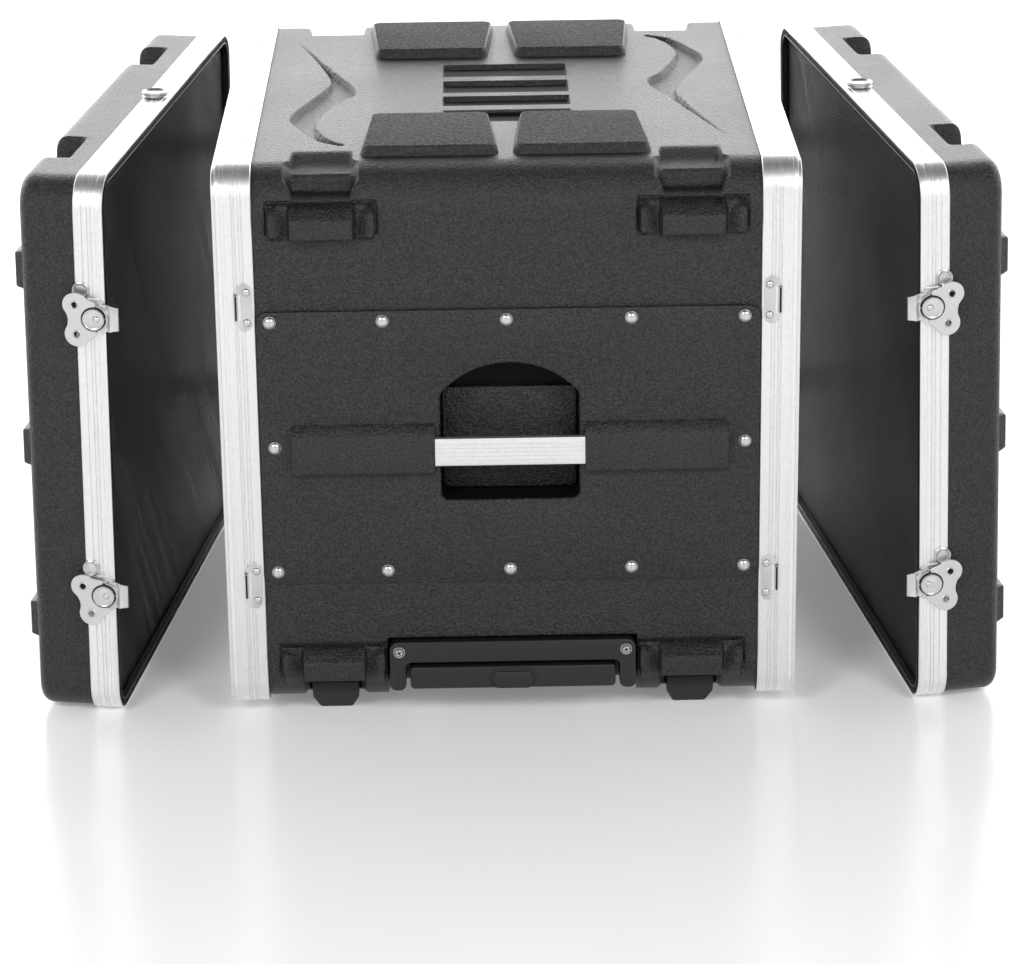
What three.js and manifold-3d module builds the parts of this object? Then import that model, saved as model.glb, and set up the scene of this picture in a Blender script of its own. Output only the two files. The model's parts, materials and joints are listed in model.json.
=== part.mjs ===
// Moulded equipment rack case with two lift-off lids, each standing open beside its end.
// Millimetres, +Z up. X runs along the rack's depth, -Y is the side with the pull handle.
import * as THREE from 'three';
import { mergeVertices } from 'three/addons/utils/BufferGeometryUtils.js';
import Module from 'manifold-3d';

const wasm = await Module();
wasm.setup();

// ---- driving dimensions -------------------------------------------------------------------
const gap = 0.3; // play between touching pieces
const rackUnit = 44.45;
const rackUnits = 10;
const length = 508; // over both aluminium edge frames, along X
const width = 585; // over the edge frames, along Y
const height = 508; // of an edge frame, along Z
const lift = 10.5; // edge frame above the floor
const bodyBand = 31.6; // width of a case edge frame
const lidBand = 26.6; // width of a lid edge frame
const frameWall = 1.8;
const frameRadius = 29;
const shellInset = frameWall + gap; // outer skin below the frame's face
const shellWall = 4.5;
const lidDepth = 76; // lid rim to its outer face
const ribProud = 8; // ribs on a lid's outer face
const tongueOut = 3.2; // case frame's tongue
const grooveDeep = 4; // lid frame's groove
const footX = 162; // feet, wheels, bumpers and stacking notches
const wheelRadius = 25;
const wheelWidth = 22;
const wheelY = 262;
const towX = 80; // pull handle tubes
const towZ = 33.5;
const tubeLength = 455;
const keeperHeights = [122, 384]; // above the frame's lower edge
const latchInset = 9.3; // drum centre behind the lid's rim
const wingHeight = 7; // middle of a wing plate above the frame
const bossRadius = 12.5; // round fitting on a lid's top edge
const bossInset = 16; // its centre behind the lid's rim
const bossShift = 7.5; // and beyond the lid's middle
const cornerSteps = 3;

// Where each lid stands: its near lower rim corner, its turn from square and its lean.
const lids = [
  { name: 'left', cornerX: -360.2, cornerY: -281, turn: 7.65, lean: 0.9, side: -1, wings: [15, 2.5] },
  { name: 'right', cornerX: 371.8, cornerY: -284.5, turn: 7.25, lean: 1.35, side: 1, wings: [-8.5, -7] },
];

const halfLength = length / 2;
const halfWidth = width / 2;
const top = lift + height;
const middleZ = lift + height / 2;
const skinY = halfWidth - shellInset; // outer skin of the shell
const skinTop = top - shellInset;
const skinBottom = lift + shellInset;
const notchFloor = skinTop - 24.8; // stacking notch, outer ledge
const notchStep = skinTop - 8.8; // and inner ledge
const bandStart = halfLength - bodyBand;

// ---- colours ------------------------------------------------------------------------------
const finishes = {
  plastic: { color: 0x2e3233, roughness: 0.55, metalness: 0 },
  smooth: { color: 0x26292b, roughness: 0.4, metalness: 0 },
  rubber: { color: 0x1b1c1c, roughness: 0.85, metalness: 0 },
  aluminium: { color: 0xd9dcde, roughness: 0.35, metalness: 1 },
  chrome: { color: 0xd2d4d4, roughness: 0.18, metalness: 1 },
  steel: { color: 0x3a3c3e, roughness: 0.45, metalness: 1 },
};

// ---- solids -------------------------------------------------------------------------------
function solid(geometry) {
  const plain = geometry.clone();
  plain.deleteAttribute('normal');
  plain.deleteAttribute('uv');
  const merged = mergeVertices(plain, 1e-4);
  const mesh = new wasm.Mesh({
    numProp: 3,
    vertProperties: new Float32Array(merged.attributes.position.array),
    triVerts: new Uint32Array(merged.index.array),
  });
  return new wasm.Manifold(mesh);
}

function geometryOf(body) {
  const mesh = body.getMesh();
  const geometry = new THREE.BufferGeometry();
  geometry.setAttribute('position', new THREE.BufferAttribute(new Float32Array(mesh.vertProperties), 3));
  geometry.setIndex(new THREE.BufferAttribute(new Uint32Array(mesh.triVerts), 1));
  geometry.computeVertexNormals();
  return geometry;
}

function block(x0, x1, y0, y1, z0, z1) {
  const box = new THREE.BoxGeometry(x1 - x0, y1 - y0, z1 - z0);
  box.translate((x0 + x1) / 2, (y0 + y1) / 2, (z0 + z1) / 2);
  return solid(box);
}

const axisX = new THREE.Vector3(1, 0, 0);
const axisY = new THREE.Vector3(0, 1, 0);
const axisZ = new THREE.Vector3(0, 0, 1);
const bases = {
  x: new THREE.Matrix4().makeBasis(axisY, axisZ, axisX), // outline in Y, Z
  y: new THREE.Matrix4().makeBasis(axisX, axisZ, axisY.clone().negate()), // outline in X, Z
  z: new THREE.Matrix4(), // outline in X, Y
};

// A prism of an outline between two stations on one axis, with an optional rounded far end.
function prism(outline, axis, low, high, rounding = 0) {
  const options = { depth: high - low, curveSegments: cornerSteps, bevelEnabled: rounding > 0 };
  if (rounding > 0) {
    options.depth = high - low - rounding;
    options.bevelThickness = rounding;
    options.bevelSize = rounding;
    options.bevelOffset = -rounding;
    options.bevelSegments = 2;
  }
  const geometry = new THREE.ExtrudeGeometry(outline, options);
  geometry.applyMatrix4(bases[axis]);
  const shift = { x: [low, 0, 0], y: [0, high, 0], z: [0, 0, low] }[axis];
  geometry.translate(...shift);
  return solid(geometry);
}

function roundedRectangle(centreX, centreY, sizeX, sizeY, radius) {
  const shape = new THREE.Shape();
  const left = centreX - sizeX / 2;
  const right = centreX + sizeX / 2;
  const low = centreY - sizeY / 2;
  const high = centreY + sizeY / 2;
  shape.moveTo(left + radius, low);
  shape.lineTo(right - radius, low);
  shape.absarc(right - radius, low + radius, radius, -Math.PI / 2, 0, false);
  shape.lineTo(right, high - radius);
  shape.absarc(right - radius, high - radius, radius, 0, Math.PI / 2, false);
  shape.lineTo(left + radius, high);
  shape.absarc(left + radius, high - radius, radius, Math.PI / 2, Math.PI, false);
  shape.lineTo(left, low + radius);
  shape.absarc(left + radius, low + radius, radius, Math.PI, Math.PI * 1.5, false);
  return shape;
}

function polygon(points) {
  return new THREE.Shape(points.map(([x, y]) => new THREE.Vector2(x, y)));
}

function rod(radius, axis, low, high, x, y, z, sides = 16) {
  const cylinder = new THREE.CylinderGeometry(radius, radius, high - low, sides);
  if (axis === 'x') cylinder.rotateZ(-Math.PI / 2);
  if (axis === 'z') cylinder.rotateX(Math.PI / 2);
  const middle = (low + high) / 2;
  const at = { x: [middle, y, z], y: [x, middle, z], z: [x, y, middle] }[axis];
  cylinder.translate(...at);
  return solid(cylinder);
}

function joinAll(bodies) {
  return bodies.reduce((sum, body) => sum.add(body));
}

function cutAll(body, cutters) {
  return cutters.reduce((rest, cutter) => rest.subtract(cutter), body);
}

const halfTurn = new THREE.Matrix4().makeRotationZ(Math.PI);

function turnedRound(body) {
  return solid(geometryOf(body).applyMatrix4(halfTurn));
}

function onBothSides(body) {
  return [body, turnedRound(body)];
}

function piece(name, body, finish) {
  const mesh = new THREE.Mesh(geometryOf(body), new THREE.MeshStandardMaterial(finishes[finish]));
  mesh.name = name;
  return mesh;
}

// The case's or a lid's section in the Y, Z plane, taken in by an inset all round.
function section(inset, bottom = lift) {
  const radius = Math.max(frameRadius - inset, 3);
  return roundedRectangle(0, bottom + height / 2, width - 2 * inset, height - 2 * inset, radius);
}

function ring(inset, depth, low, high, bottom = lift) {
  const outer = prism(section(inset, bottom), 'x', low, high);
  const inner = prism(section(inset + depth, bottom), 'x', low - 1, high + 1);
  return outer.subtract(inner);
}

// ---- case shell ---------------------------------------------------------------------------
// Bumper on the near wall: side lobes and a prouder middle, with tops that slope.
function bumper(x, bottom) {
  const foot = -skinY + 1;
  const lobes = prism(polygon([[foot, bottom + 2], [foot, bottom + 35.5], [-skinY, bottom + 35.5],
    [-skinY - 8, bottom + 27], [-skinY - 8, bottom + 2]].reverse()), 'x', x - 49, x + 49);
  const middle = prism(polygon([[foot, bottom], [foot, bottom + 35], [-skinY, bottom + 35],
    [-skinY - 14, bottom + 19], [-skinY - 14, bottom]].reverse()), 'x', x - 31, x + 31);
  return lobes.add(middle);
}

// Raised pad on the top face, wider along the outer edge than the inner one.
function topPad(x, sideY) {
  const outline = polygon([[x - 62.5, -246], [x + 62.5, -246], [x + 56, -121], [x - 56, -121]]);
  const pad = prism(outline, 'z', skinTop - 1, skinTop + 8);
  return sideY < 0 ? pad : turnedRound(pad);
}

function caseShell() {
  const end = halfLength - frameWall - gap;
  const skin = prism(section(shellInset), 'x', -end, end);
  const inside = prism(section(shellInset + shellWall), 'x', -end - 1, end + 1);
  const railRibs = [];
  for (const x of [-194, 194]) {
    railRibs.push(block(x - 6, x + 6, -skinY + 2, -245.6, middleZ - 222, middleZ + 222));
    railRibs.push(block(x - 6, x + 6, 245.6, skinY - 2, middleZ - 222, middleZ + 222));
  }
  const backing = []; // material behind each moulded recess, so the wall stays closed
  const recesses = [];
  for (const x of [-footX, footX]) {
    backing.push(...onBothSides(block(x - 31, x + 31, -skinY, -skinY + 27, notchFloor - shellWall, skinTop)));
    backing.push(...onBothSides(block(x - 31, x + 31, -skinY, -skinY + 71, notchStep - shellWall, skinTop)));
    const notch = polygon([[-skinY - 20, notchFloor], [-skinY + 22, notchFloor], [-skinY + 22, notchStep],
      [-skinY + 50, notchStep], [-skinY + 65, skinTop + 1], [-skinY + 65, top], [-skinY - 20, top]]);
    recesses.push(...onBothSides(prism(notch, 'x', x - 26, x + 26)));
    backing.push(block(x - 16.6, x + 16.6, wheelY - 34, skinY, skinBottom, 60));
    recesses.push(block(x - 12, x + 12, wheelY - 29, skinY + 20, 0, 55));
  }
  backing.push(block(-117, 117, -skinY, -255, skinBottom, 84));
  recesses.push(block(-112, 112, -skinY - 20, -262, 0, 79));
  const outline = prism(section(shellInset), 'x', -end, end);
  let shell = joinAll([skin.subtract(inside), ...railRibs, joinAll(backing).intersect(outline)]);
  shell = cutAll(shell, recesses);
  shell = joinAll([shell, ...[-67.3, 67.3].flatMap((x) => [topPad(x, -1), topPad(x, 1)])]);
  const bumpers = [-footX, footX].flatMap((x) => [bumper(x, 455), bumper(x, 40)]);
  const farUpper = [-footX, footX].map((x) => bumper(x, 455));
  shell = joinAll([shell, ...bumpers, ...farUpper.map(turnedRound)]);
  const window = prism(roundedRectangle(0, 276, 136, 152, 8), 'y', -skinY - 1, -skinY + 8);
  const openings = onBothSides(window);
  for (const x of [-towX, towX]) {
    openings.push(block(x - 10.8, x + 10.8, -264, -250, towZ - 6.8, towZ + 6.8));
  }
  for (const x of [-footX, footX]) {
    openings.push(rod(4.3, 'x', x - 17, x + 17, 0, wheelY, wheelRadius));
  }
  return cutAll(shell, openings);
}

// ---- edge frames --------------------------------------------------------------------------
// Strike plate for one latch: a plate with an upright lip, seated on the case frame's face.
function keeper(face, x, z) {
  const plate = block(x - 8.5, x + 6.5, -halfWidth - 1.2, -halfWidth + 0.5, z - 20, z + 20);
  const lip = block(x + 4.5, x + 6.5, -halfWidth - 3.6, -halfWidth, z - 12, z + 12);
  const body = plate.add(lip);
  if (face === 'near') return body;
  const geometry = geometryOf(body);
  geometry.rotateX(Math.PI).translate(0, 0, 2 * z);
  return solid(geometry);
}

function caseFrame() {
  const band = ring(0, frameWall, bandStart, halfLength);
  const web = ring(0, 9.3, halfLength - frameWall, halfLength);
  const tongue = ring(3.9, frameWall, halfLength - 1, halfLength + tongueOut);
  const keepers = keeperHeights.flatMap((z) => ['near', 'far'].map((face) => keeper(face, 233, lift + z)));
  return joinAll([band, web, tongue, ...keepers]);
}

// A lid is built with its rim on X = 0, its lower edge on Z = 0 and its tray towards +X.
function lidFrame() {
  const band = ring(0, frameWall, 0, lidBand, 0);
  const web = ring(0, 9.3, grooveDeep, grooveDeep + frameWall, 0);
  const lip = ring(7.8, 1.5, 0, grooveDeep + 1, 0);
  const plates = latchPlaces().map(({ face, along }) => lidPlate(face, along));
  return joinAll([band, web, lip, ...plates]);
}

function lidPlate(face, along) {
  const plate = block(1, 25.5, -17, 17, -0.5, 1.3);
  return solid(geometryOf(plate).applyMatrix4(latchPlace(face, along, 0)));
}

function lidTray() {
  const start = grooveDeep + frameWall + gap;
  const skin = prism(section(shellInset, 0), 'x', -20, lidDepth, 14);
  const inside = prism(section(shellInset + shellWall, 0), 'x', -21, lidDepth - shellWall, 12);
  const keep = block(start, lidDepth + 1, -width, width, -height, 2 * height);
  const ribs = [-166, 0, 166].map((z) => block(lidDepth - 2, lidDepth + ribProud,
    -halfWidth + 15, halfWidth - 15, height / 2 + z - 19, height / 2 + z + 19));
  const backing = [];
  const notches = [];
  for (const y of [-176, 176]) {
    for (const [low, high] of [[shellInset, 26], [height - 26, height - shellInset]]) {
      backing.push(block(42, lidDepth - 2, y - 39, y + 39, low, high));
    }
    notches.push(block(48, lidDepth + 9, y - 35, y + 35, height - 21, height + 9));
    notches.push(block(48, lidDepth + 9, y - 35, y + 35, -9, 21));
  }
  const tray = skin.intersect(keep).subtract(inside);
  return cutAll(joinAll([tray, ...ribs, joinAll(backing).intersect(skin)]), notches);
}

// ---- twist latches ------------------------------------------------------------------------
// Latch frame: X away from the case, Z out of the lid frame's face, drum centre at the origin.
function latchPlaces() {
  return keeperHeights.flatMap((along) => [{ face: 'near', along }, { face: 'far', along }]);
}

function latchPlace(face, along, inset) {
  const side = face === 'near' ? -1 : 1;
  const across = axisZ.clone().multiplyScalar(-side);
  const out = axisY.clone().multiplyScalar(side);
  return new THREE.Matrix4().makeBasis(axisX, across, out).setPosition(inset, side * halfWidth, along);
}

function drum() {
  const cap = rod(10, 'z', 3.7, 9, 0, 0, 0, 16);
  const post = rod(3, 'z', 1.6, 4, 0, 0, 0, 6);
  const pin = rod(1.6, 'y', -10.4, 10.4, 0, 0, wingHeight, 6);
  const rivet = rod(2.8, 'z', 8.5, 10, -2.5, 0, 0, 8);
  return joinAll([cap, post, pin, rivet]);
}

function wing() {
  const bottom = wingHeight - 0.65;
  const height = wingHeight + 0.65;
  const plate = joinAll([
    rod(11.3, 'z', bottom, height, 15.5, 13.5, 0, 14),
    rod(11.3, 'z', bottom, height, 15.5, -13.5, 0, 14),
    block(-2.4, 18, -14.5, 14.5, bottom, height),
  ]);
  const cuts = [rod(10.8, 'z', 0, 20, 0, 0, 0, 16), block(-30, 0, -11, 11, 0, 20)];
  for (const y of [-13.5, 13.5]) cuts.push(rod(2.7, 'z', 0, 20, 16, y, 0, 6));
  return cutAll(plate, cuts);
}

function tongue() {
  const outline = polygon([[14, 2], [14, 3.3], [-12, 3.3], [-14.7, 6], [-22.3, 6], [-22.3, 3.9], [-21, 3.9],
    [-21, 4.7], [-15.2, 4.7], [-12.5, 2]]);
  const strip = prism(outline, 'y', -10.2, 10.2);
  const slot = block(-5.2, 13, -3.6, 3.6, 0, 9);
  return strip.subtract(slot);
}

function addLatches(lid, group) {
  for (const { face, along } of latchPlaces()) {
    const level = along === keeperHeights[0] ? 'lower' : 'upper';
    const nearLatch = (face === 'near') === (lid.side > 0);
    const label = `${lid.name}_${nearLatch ? 'near' : 'far'}_${level}_latch`;
    const angle = nearLatch ? lid.wings[level === 'lower' ? 0 : 1] : 0;
    const holder = new THREE.Group();
    holder.applyMatrix4(latchPlace(face, along, latchInset));
    const turned = new THREE.Group();
    turned.rotation.z = THREE.MathUtils.degToRad(angle);
    turned.add(piece(`${label}_drum`, drum(), 'chrome'), piece(`${label}_wing`, wing(), 'chrome'));
    holder.add(turned, piece(`${label}_tongue`, tongue(), 'chrome'));
    group.add(holder);
  }
}

// Round dished fitting on a lid's top edge, with the stem that holds it.
function topBoss(y) {
  const disc = rod(bossRadius, 'z', height + 2 * gap, height + 5.5, bossInset, y, 0, 20);
  const dish = rod(bossRadius - 2.5, 'z', height + 4.5, height + 9, bossInset, y, 0, 20);
  const stem = rod(2.6, 'z', height - 12, height + 1, bossInset, y, 0, 12);
  return disc.add(stem).subtract(dish);
}

function addLid(lid, group) {
  const holder = new THREE.Group();
  const bossY = lid.side * bossShift;
  const stemHole = rod(3.3, 'z', height - 20, height + 9, bossInset, bossY, 0, 12);
  holder.add(piece(`${lid.name}_lid_frame`, lidFrame().subtract(stemHole), 'aluminium'));
  holder.add(piece(`${lid.name}_lid_tray`, lidTray().subtract(stemHole), 'plastic'));
  holder.add(piece(`${lid.name}_lid_top_boss`, topBoss(bossY), 'chrome'));
  addLatches(lid, holder);
  const turn = THREE.MathUtils.degToRad(lid.side > 0 ? lid.turn : 180 - lid.turn);
  holder.rotation.set(0, THREE.MathUtils.degToRad(-lid.lean), turn, 'ZYX');
  const corner = new THREE.Vector3(0, -lid.side * halfWidth, 0).applyEuler(holder.rotation);
  holder.position.set(lid.cornerX - corner.x, lid.cornerY - corner.y, 0);
  group.add(holder);
}

// ---- side panels and grips ----------------------------------------------------------------
function sidePanel() {
  const back = -skinY - gap;
  const plate = prism(roundedRectangle(0, 261.5, 2 * bandStart - 2 * gap, 256, 10), 'y', back - 2.6, back);
  const dish = prism(roundedRectangle(0, 275, 131, 142, 8), 'y', back - 1, back + 36);
  const pocketShape = new THREE.Shape();
  pocketShape.moveTo(-62.5, 207.5);
  pocketShape.lineTo(62.5, 207.5);
  pocketShape.lineTo(62.5, 312);
  pocketShape.quadraticCurveTo(60, 342, 20, 342);
  pocketShape.lineTo(-20, 342);
  pocketShape.quadraticCurveTo(-60, 342, -62.5, 312);
  const pocket = prism(pocketShape, 'y', back - 9, back + 33);
  const front = back - 2.6;
  const padOutline = polygon([[front + 1, 238], [front - 9, 240], [front - 9, 275], [front, 285], [front + 1, 285]]);
  const pads = [prism(padOutline, 'x', -194, -67), prism(padOutline, 'x', 67, 194)];
  const sockets = [-72.5, 72.5].map((x) => block(x - 6, x + 6, front - 8 - gap, front + gap, 243.7, 270.8));
  return cutAll(joinAll([plate, dish, ...pads]), [pocket, ...sockets]);
}

function gripBar() {
  const front = -skinY - gap - 2.6;
  return block(-78, 78, front - 8, front, 244, 270.5);
}

// ---- rack rails ---------------------------------------------------------------------------
function rackRail() {
  const low = middleZ - (rackUnits * rackUnit) / 2;
  const face = block(207, 209, -245.3, -225, low, low + rackUnits * rackUnit);
  const flange = block(179, 209, -245.3, -243.3, low, low + rackUnits * rackUnit);
  const holes = [];
  for (let unit = 0; unit < rackUnits; unit += 1) {
    for (const step of [6.35, 22.225, 38.1]) {
      const z = low + unit * rackUnit + step;
      holes.push(block(200, 215, -232.55 - 2.7, -232.55 + 2.7, z - 2.7, z + 2.7));
    }
  }
  return cutAll(face.add(flange), [joinAll(holes)]);
}

function mirrored(body, x, y) {
  const geometry = geometryOf(body).scale(x, y, 1);
  if (x * y < 0) {
    const index = geometry.index.array;
    for (let i = 0; i < index.length; i += 3) [index[i], index[i + 1]] = [index[i + 1], index[i]];
  }
  return solid(geometry);
}

// ---- feet, wheels and pull handle ---------------------------------------------------------
function foot(x) {
  const outline = polygon([[x - 15, 0], [x + 15, 0], [x + 21, 14], [x + 21, 33], [x - 21, 33], [x - 21, 14]]);
  const body = prism(outline, 'y', -286, -240);
  const slope = prism(polygon([[-300, -1], [-262, -1], [-263, 0], [-286, 20], [-300, 20]]), 'x', x - 30, x + 30);
  return body.subtract(slope).subtract(prism(section(shellInset - gap), 'x', -halfLength, halfLength));
}

function wheel(x) {
  const half = wheelWidth / 2;
  const profile = [[4.3, -half], [21, -half], [wheelRadius, -half + 4], [wheelRadius, half - 4], [21, half], [4.3, half]];
  const points = [...profile, profile[0]].map(([r, y]) => new THREE.Vector2(r, y));
  const lathe = new THREE.LatheGeometry(points, 20);
  lathe.rotateZ(-Math.PI / 2);
  lathe.translate(x, wheelY, wheelRadius);
  return solid(lathe);
}

function towBezel() {
  const outer = prism(roundedRectangle(0, 50, 223, 55, 8), 'y', -296, -262.3);
  const mouth = prism(roundedRectangle(0, 30, 190, 46, 4), 'y', -300, -260);
  return outer.subtract(mouth);
}

function towGuide(x) {
  const outer = block(x - 12, x + 12, -254.7, 190, towZ - 8, towZ + 8);
  return outer.subtract(block(x - 10.6, x + 10.6, -256, 191, towZ - 6.6, towZ + 6.6));
}

function towTube(x) {
  const outer = block(x - 10.2, x + 10.2, -286, -286 + tubeLength, towZ - 6.2, towZ + 6.2);
  return outer.subtract(block(x - 9, x + 9, -287, -285 + tubeLength, towZ - 5, towZ + 5));
}

function towGrip() {
  const bar = prism(roundedRectangle(0, 38.7, 187, 25.5, 4), 'y', -299, -276);
  const sockets = [-towX, towX].map((x) => block(x - 10.5, x + 10.5, -286.3, -270, towZ - 6.5, towZ + 6.5));
  const buttonWell = prism(roundedRectangle(0, 37.6, 41.6, 21.2, 10.5), 'y', -305, -286);
  return cutAll(bar, [...sockets, buttonWell]);
}

function towButton() {
  return prism(roundedRectangle(0, 37.6, 41, 20.6, 10.2), 'y', -300.5, -291);
}

// ---- assembly -----------------------------------------------------------------------------
const group = new THREE.Group();
group.add(piece('case_shell', caseShell(), 'plastic'));

const frame = caseFrame();
group.add(piece('right_case_frame', frame, 'aluminium'));
group.add(piece('left_case_frame', turnedRound(frame), 'aluminium'));

const panel = sidePanel();
const bar = gripBar();
group.add(piece('near_side_panel', panel, 'plastic'), piece('far_side_panel', turnedRound(panel), 'plastic'));
group.add(piece('near_grip_bar', bar, 'aluminium'), piece('far_grip_bar', turnedRound(bar), 'aluminium'));

const rail = rackRail();
group.add(piece('right_near_rack_rail', rail, 'steel'));
group.add(piece('left_near_rack_rail', mirrored(rail, -1, 1), 'steel'));
group.add(piece('right_far_rack_rail', mirrored(rail, 1, -1), 'steel'));
group.add(piece('left_far_rack_rail', mirrored(rail, -1, -1), 'steel'));

for (const [name, sign] of [['left', -1], ['right', 1]]) {
  group.add(piece(`${name}_foot`, foot(sign * footX), 'rubber'));
  group.add(piece(`${name}_wheel`, wheel(sign * footX), 'rubber'));
  const axle = rod(4, 'x', sign * footX - 16.3, sign * footX + 16.3, 0, wheelY, wheelRadius);
  group.add(piece(`${name}_axle`, axle, 'steel'));
  group.add(piece(`${name}_tow_guide`, towGuide(sign * towX), 'steel'));
  group.add(piece(`${name}_tow_tube`, towTube(sign * towX), 'aluminium'));
}
group.add(piece('tow_bezel', towBezel(), 'smooth'));
group.add(piece('tow_grip', towGrip(), 'smooth'));
group.add(piece('tow_button', towButton(), 'smooth'));
for (const lid of lids) addLid(lid, group);

// The origin is on the floor, at the middle of everything that stands there.
const reach = new THREE.Box3().setFromObject(group);
const centre = reach.getCenter(new THREE.Vector3());
group.position.set(-centre.x, -centre.y, -reach.min.z);

export default group;
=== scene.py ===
import bpy
import bmesh
import json
from math import pi, radians, sin, cos, tan, asin, hypot
from mathutils import Matrix, Vector


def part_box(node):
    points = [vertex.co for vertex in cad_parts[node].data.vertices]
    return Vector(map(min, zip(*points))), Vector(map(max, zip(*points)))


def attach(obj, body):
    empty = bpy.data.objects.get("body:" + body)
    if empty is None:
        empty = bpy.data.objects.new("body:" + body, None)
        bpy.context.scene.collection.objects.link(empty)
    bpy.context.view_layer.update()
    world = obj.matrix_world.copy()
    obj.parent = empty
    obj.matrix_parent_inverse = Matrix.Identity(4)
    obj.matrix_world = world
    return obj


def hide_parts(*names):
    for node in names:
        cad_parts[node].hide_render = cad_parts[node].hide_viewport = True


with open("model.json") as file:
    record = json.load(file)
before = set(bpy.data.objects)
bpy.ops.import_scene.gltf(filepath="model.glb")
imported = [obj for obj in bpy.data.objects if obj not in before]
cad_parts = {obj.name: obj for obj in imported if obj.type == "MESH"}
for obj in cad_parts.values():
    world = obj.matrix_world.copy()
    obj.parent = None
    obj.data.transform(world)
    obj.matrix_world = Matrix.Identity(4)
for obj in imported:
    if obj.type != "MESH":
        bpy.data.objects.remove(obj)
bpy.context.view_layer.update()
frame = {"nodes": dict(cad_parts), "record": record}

# Everything is drawn in millimetres about the middle of the case, then placed in the frame.
caseLow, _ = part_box("left_case_frame")
_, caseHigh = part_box("right_case_frame")
caseX = (caseLow[0] + caseHigh[0]) / 2
caseY = (caseLow[1] + caseHigh[1]) / 2
toFrame = Matrix.Translation((caseX, caseY, 0)) @ Matrix.Scale(0.001, 4)

case = {"halfLength": 254, "halfWidth": 292.5, "low": 10.5, "height": 508, "band": 31.6,
        "cornerRadius": 29, "skin": 2.1, "wall": 4.5}
lids = {"left": {"corner": (-360.2, -281), "turn": 7.65, "lean": 0.9, "side": -1},
        "right": {"corner": (371.8, -284.5), "turn": 7.25, "lean": 1.35, "side": 1}}
lidShape = {"band": 26.6, "depth": 76, "rib": 8}
latchHeights = {"lower": 122, "upper": 384}
latchTurn = {"left_near_lower": 15, "left_near_upper": 2.5, "right_near_lower": -8.5, "right_near_upper": -7}

skinY = case["halfWidth"] - case["skin"]
skinTop = case["low"] + case["height"] - case["skin"]
skinLow = case["low"] + case["skin"]


# ---- materials

def newMaterial(name, colour, roughness, metallic=0.0):
    material = bpy.data.materials.new(name)
    material.use_nodes = True
    shader = material.node_tree.nodes["Principled BSDF"]
    shader.inputs["Base Color"].default_value = (*colour, 1)
    shader.inputs["Roughness"].default_value = roughness
    shader.inputs["Metallic"].default_value = metallic
    material.diffuse_color = (*colour, 1)
    return material, material.node_tree, shader


def addNode(tree, kind, **values):
    node = tree.nodes.new(kind)
    for key, value in values.items():
        if key in node.inputs:
            node.inputs[key].default_value = value
        else:
            setattr(node, key, value)
    return node


def colourRamp(tree, source, stops):
    ramp = tree.nodes.new("ShaderNodeValToRGB")
    ramp.color_ramp.elements[0].position = stops[0][0]
    ramp.color_ramp.elements[0].color = (*stops[0][1], 1)
    ramp.color_ramp.elements[1].position = stops[-1][0]
    ramp.color_ramp.elements[1].color = (*stops[-1][1], 1)
    for place, colour in stops[1:-1]:
        ramp.color_ramp.elements.new(place).color = (*colour, 1)
    tree.links.new(source, ramp.inputs["Fac"])
    return ramp.outputs["Color"]


def bumpFrom(tree, shader, layers):
    # Stacks bumps: each layer is a height output, its strength and its depth in metres.
    last = None
    for height, strength, depth in layers:
        bump = tree.nodes.new("ShaderNodeBump")
        bump.inputs["Strength"].default_value = strength
        bump.inputs["Distance"].default_value = depth
        tree.links.new(height, bump.inputs["Height"])
        if last:
            tree.links.new(last, bump.inputs["Normal"])
        last = bump.outputs["Normal"]
    tree.links.new(last, shader.inputs["Normal"])


def grainedPlastic(name, settings):
    material, tree, shader = newMaterial(name, settings["colour"], settings["roughness"])
    place = tree.nodes.new("ShaderNodeTexCoord").outputs["Object"]
    pebbles = addNode(tree, "ShaderNodeTexVoronoi", Scale=settings["pebbleScale"], Randomness=1.0)
    pebbles.feature = "SMOOTH_F1"
    grain = addNode(tree, "ShaderNodeTexNoise", Scale=settings["grainScale"], Detail=3.0, Roughness=0.6)
    cloud = addNode(tree, "ShaderNodeTexNoise", Scale=9.0, Detail=2.0)
    for node in (pebbles, grain, cloud):
        tree.links.new(place, node.inputs["Vector"])
    # Grain tone in the base colour, set stronger than the plastic's own: partly real grain, partly painted glints of
    # the pebbled surface.
    light = tuple(channel * settings["speckle"] for channel in settings["colour"])
    dark = tuple(channel / settings["speckle"] for channel in settings["colour"])
    shade = colourRamp(tree, grain.outputs["Fac"], [(0.4, dark), (0.62, light)])
    tree.links.new(shade, shader.inputs["Base Color"])
    spread = addNode(tree, "ShaderNodeMapRange")
    spread.inputs["To Min"].default_value = settings["roughness"] - 0.05
    spread.inputs["To Max"].default_value = settings["roughness"] + 0.06
    tree.links.new(cloud.outputs["Fac"], spread.inputs["Value"])
    tree.links.new(spread.outputs["Result"], shader.inputs["Roughness"])
    shader.inputs["Specular IOR Level"].default_value = settings["gloss"]
    bumpFrom(tree, shader, [(pebbles.outputs["Distance"], settings["pebble"], settings["pebbleDepth"]),
                            (grain.outputs["Fac"], settings["grain"], settings["grainDepth"])])
    return material


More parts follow.
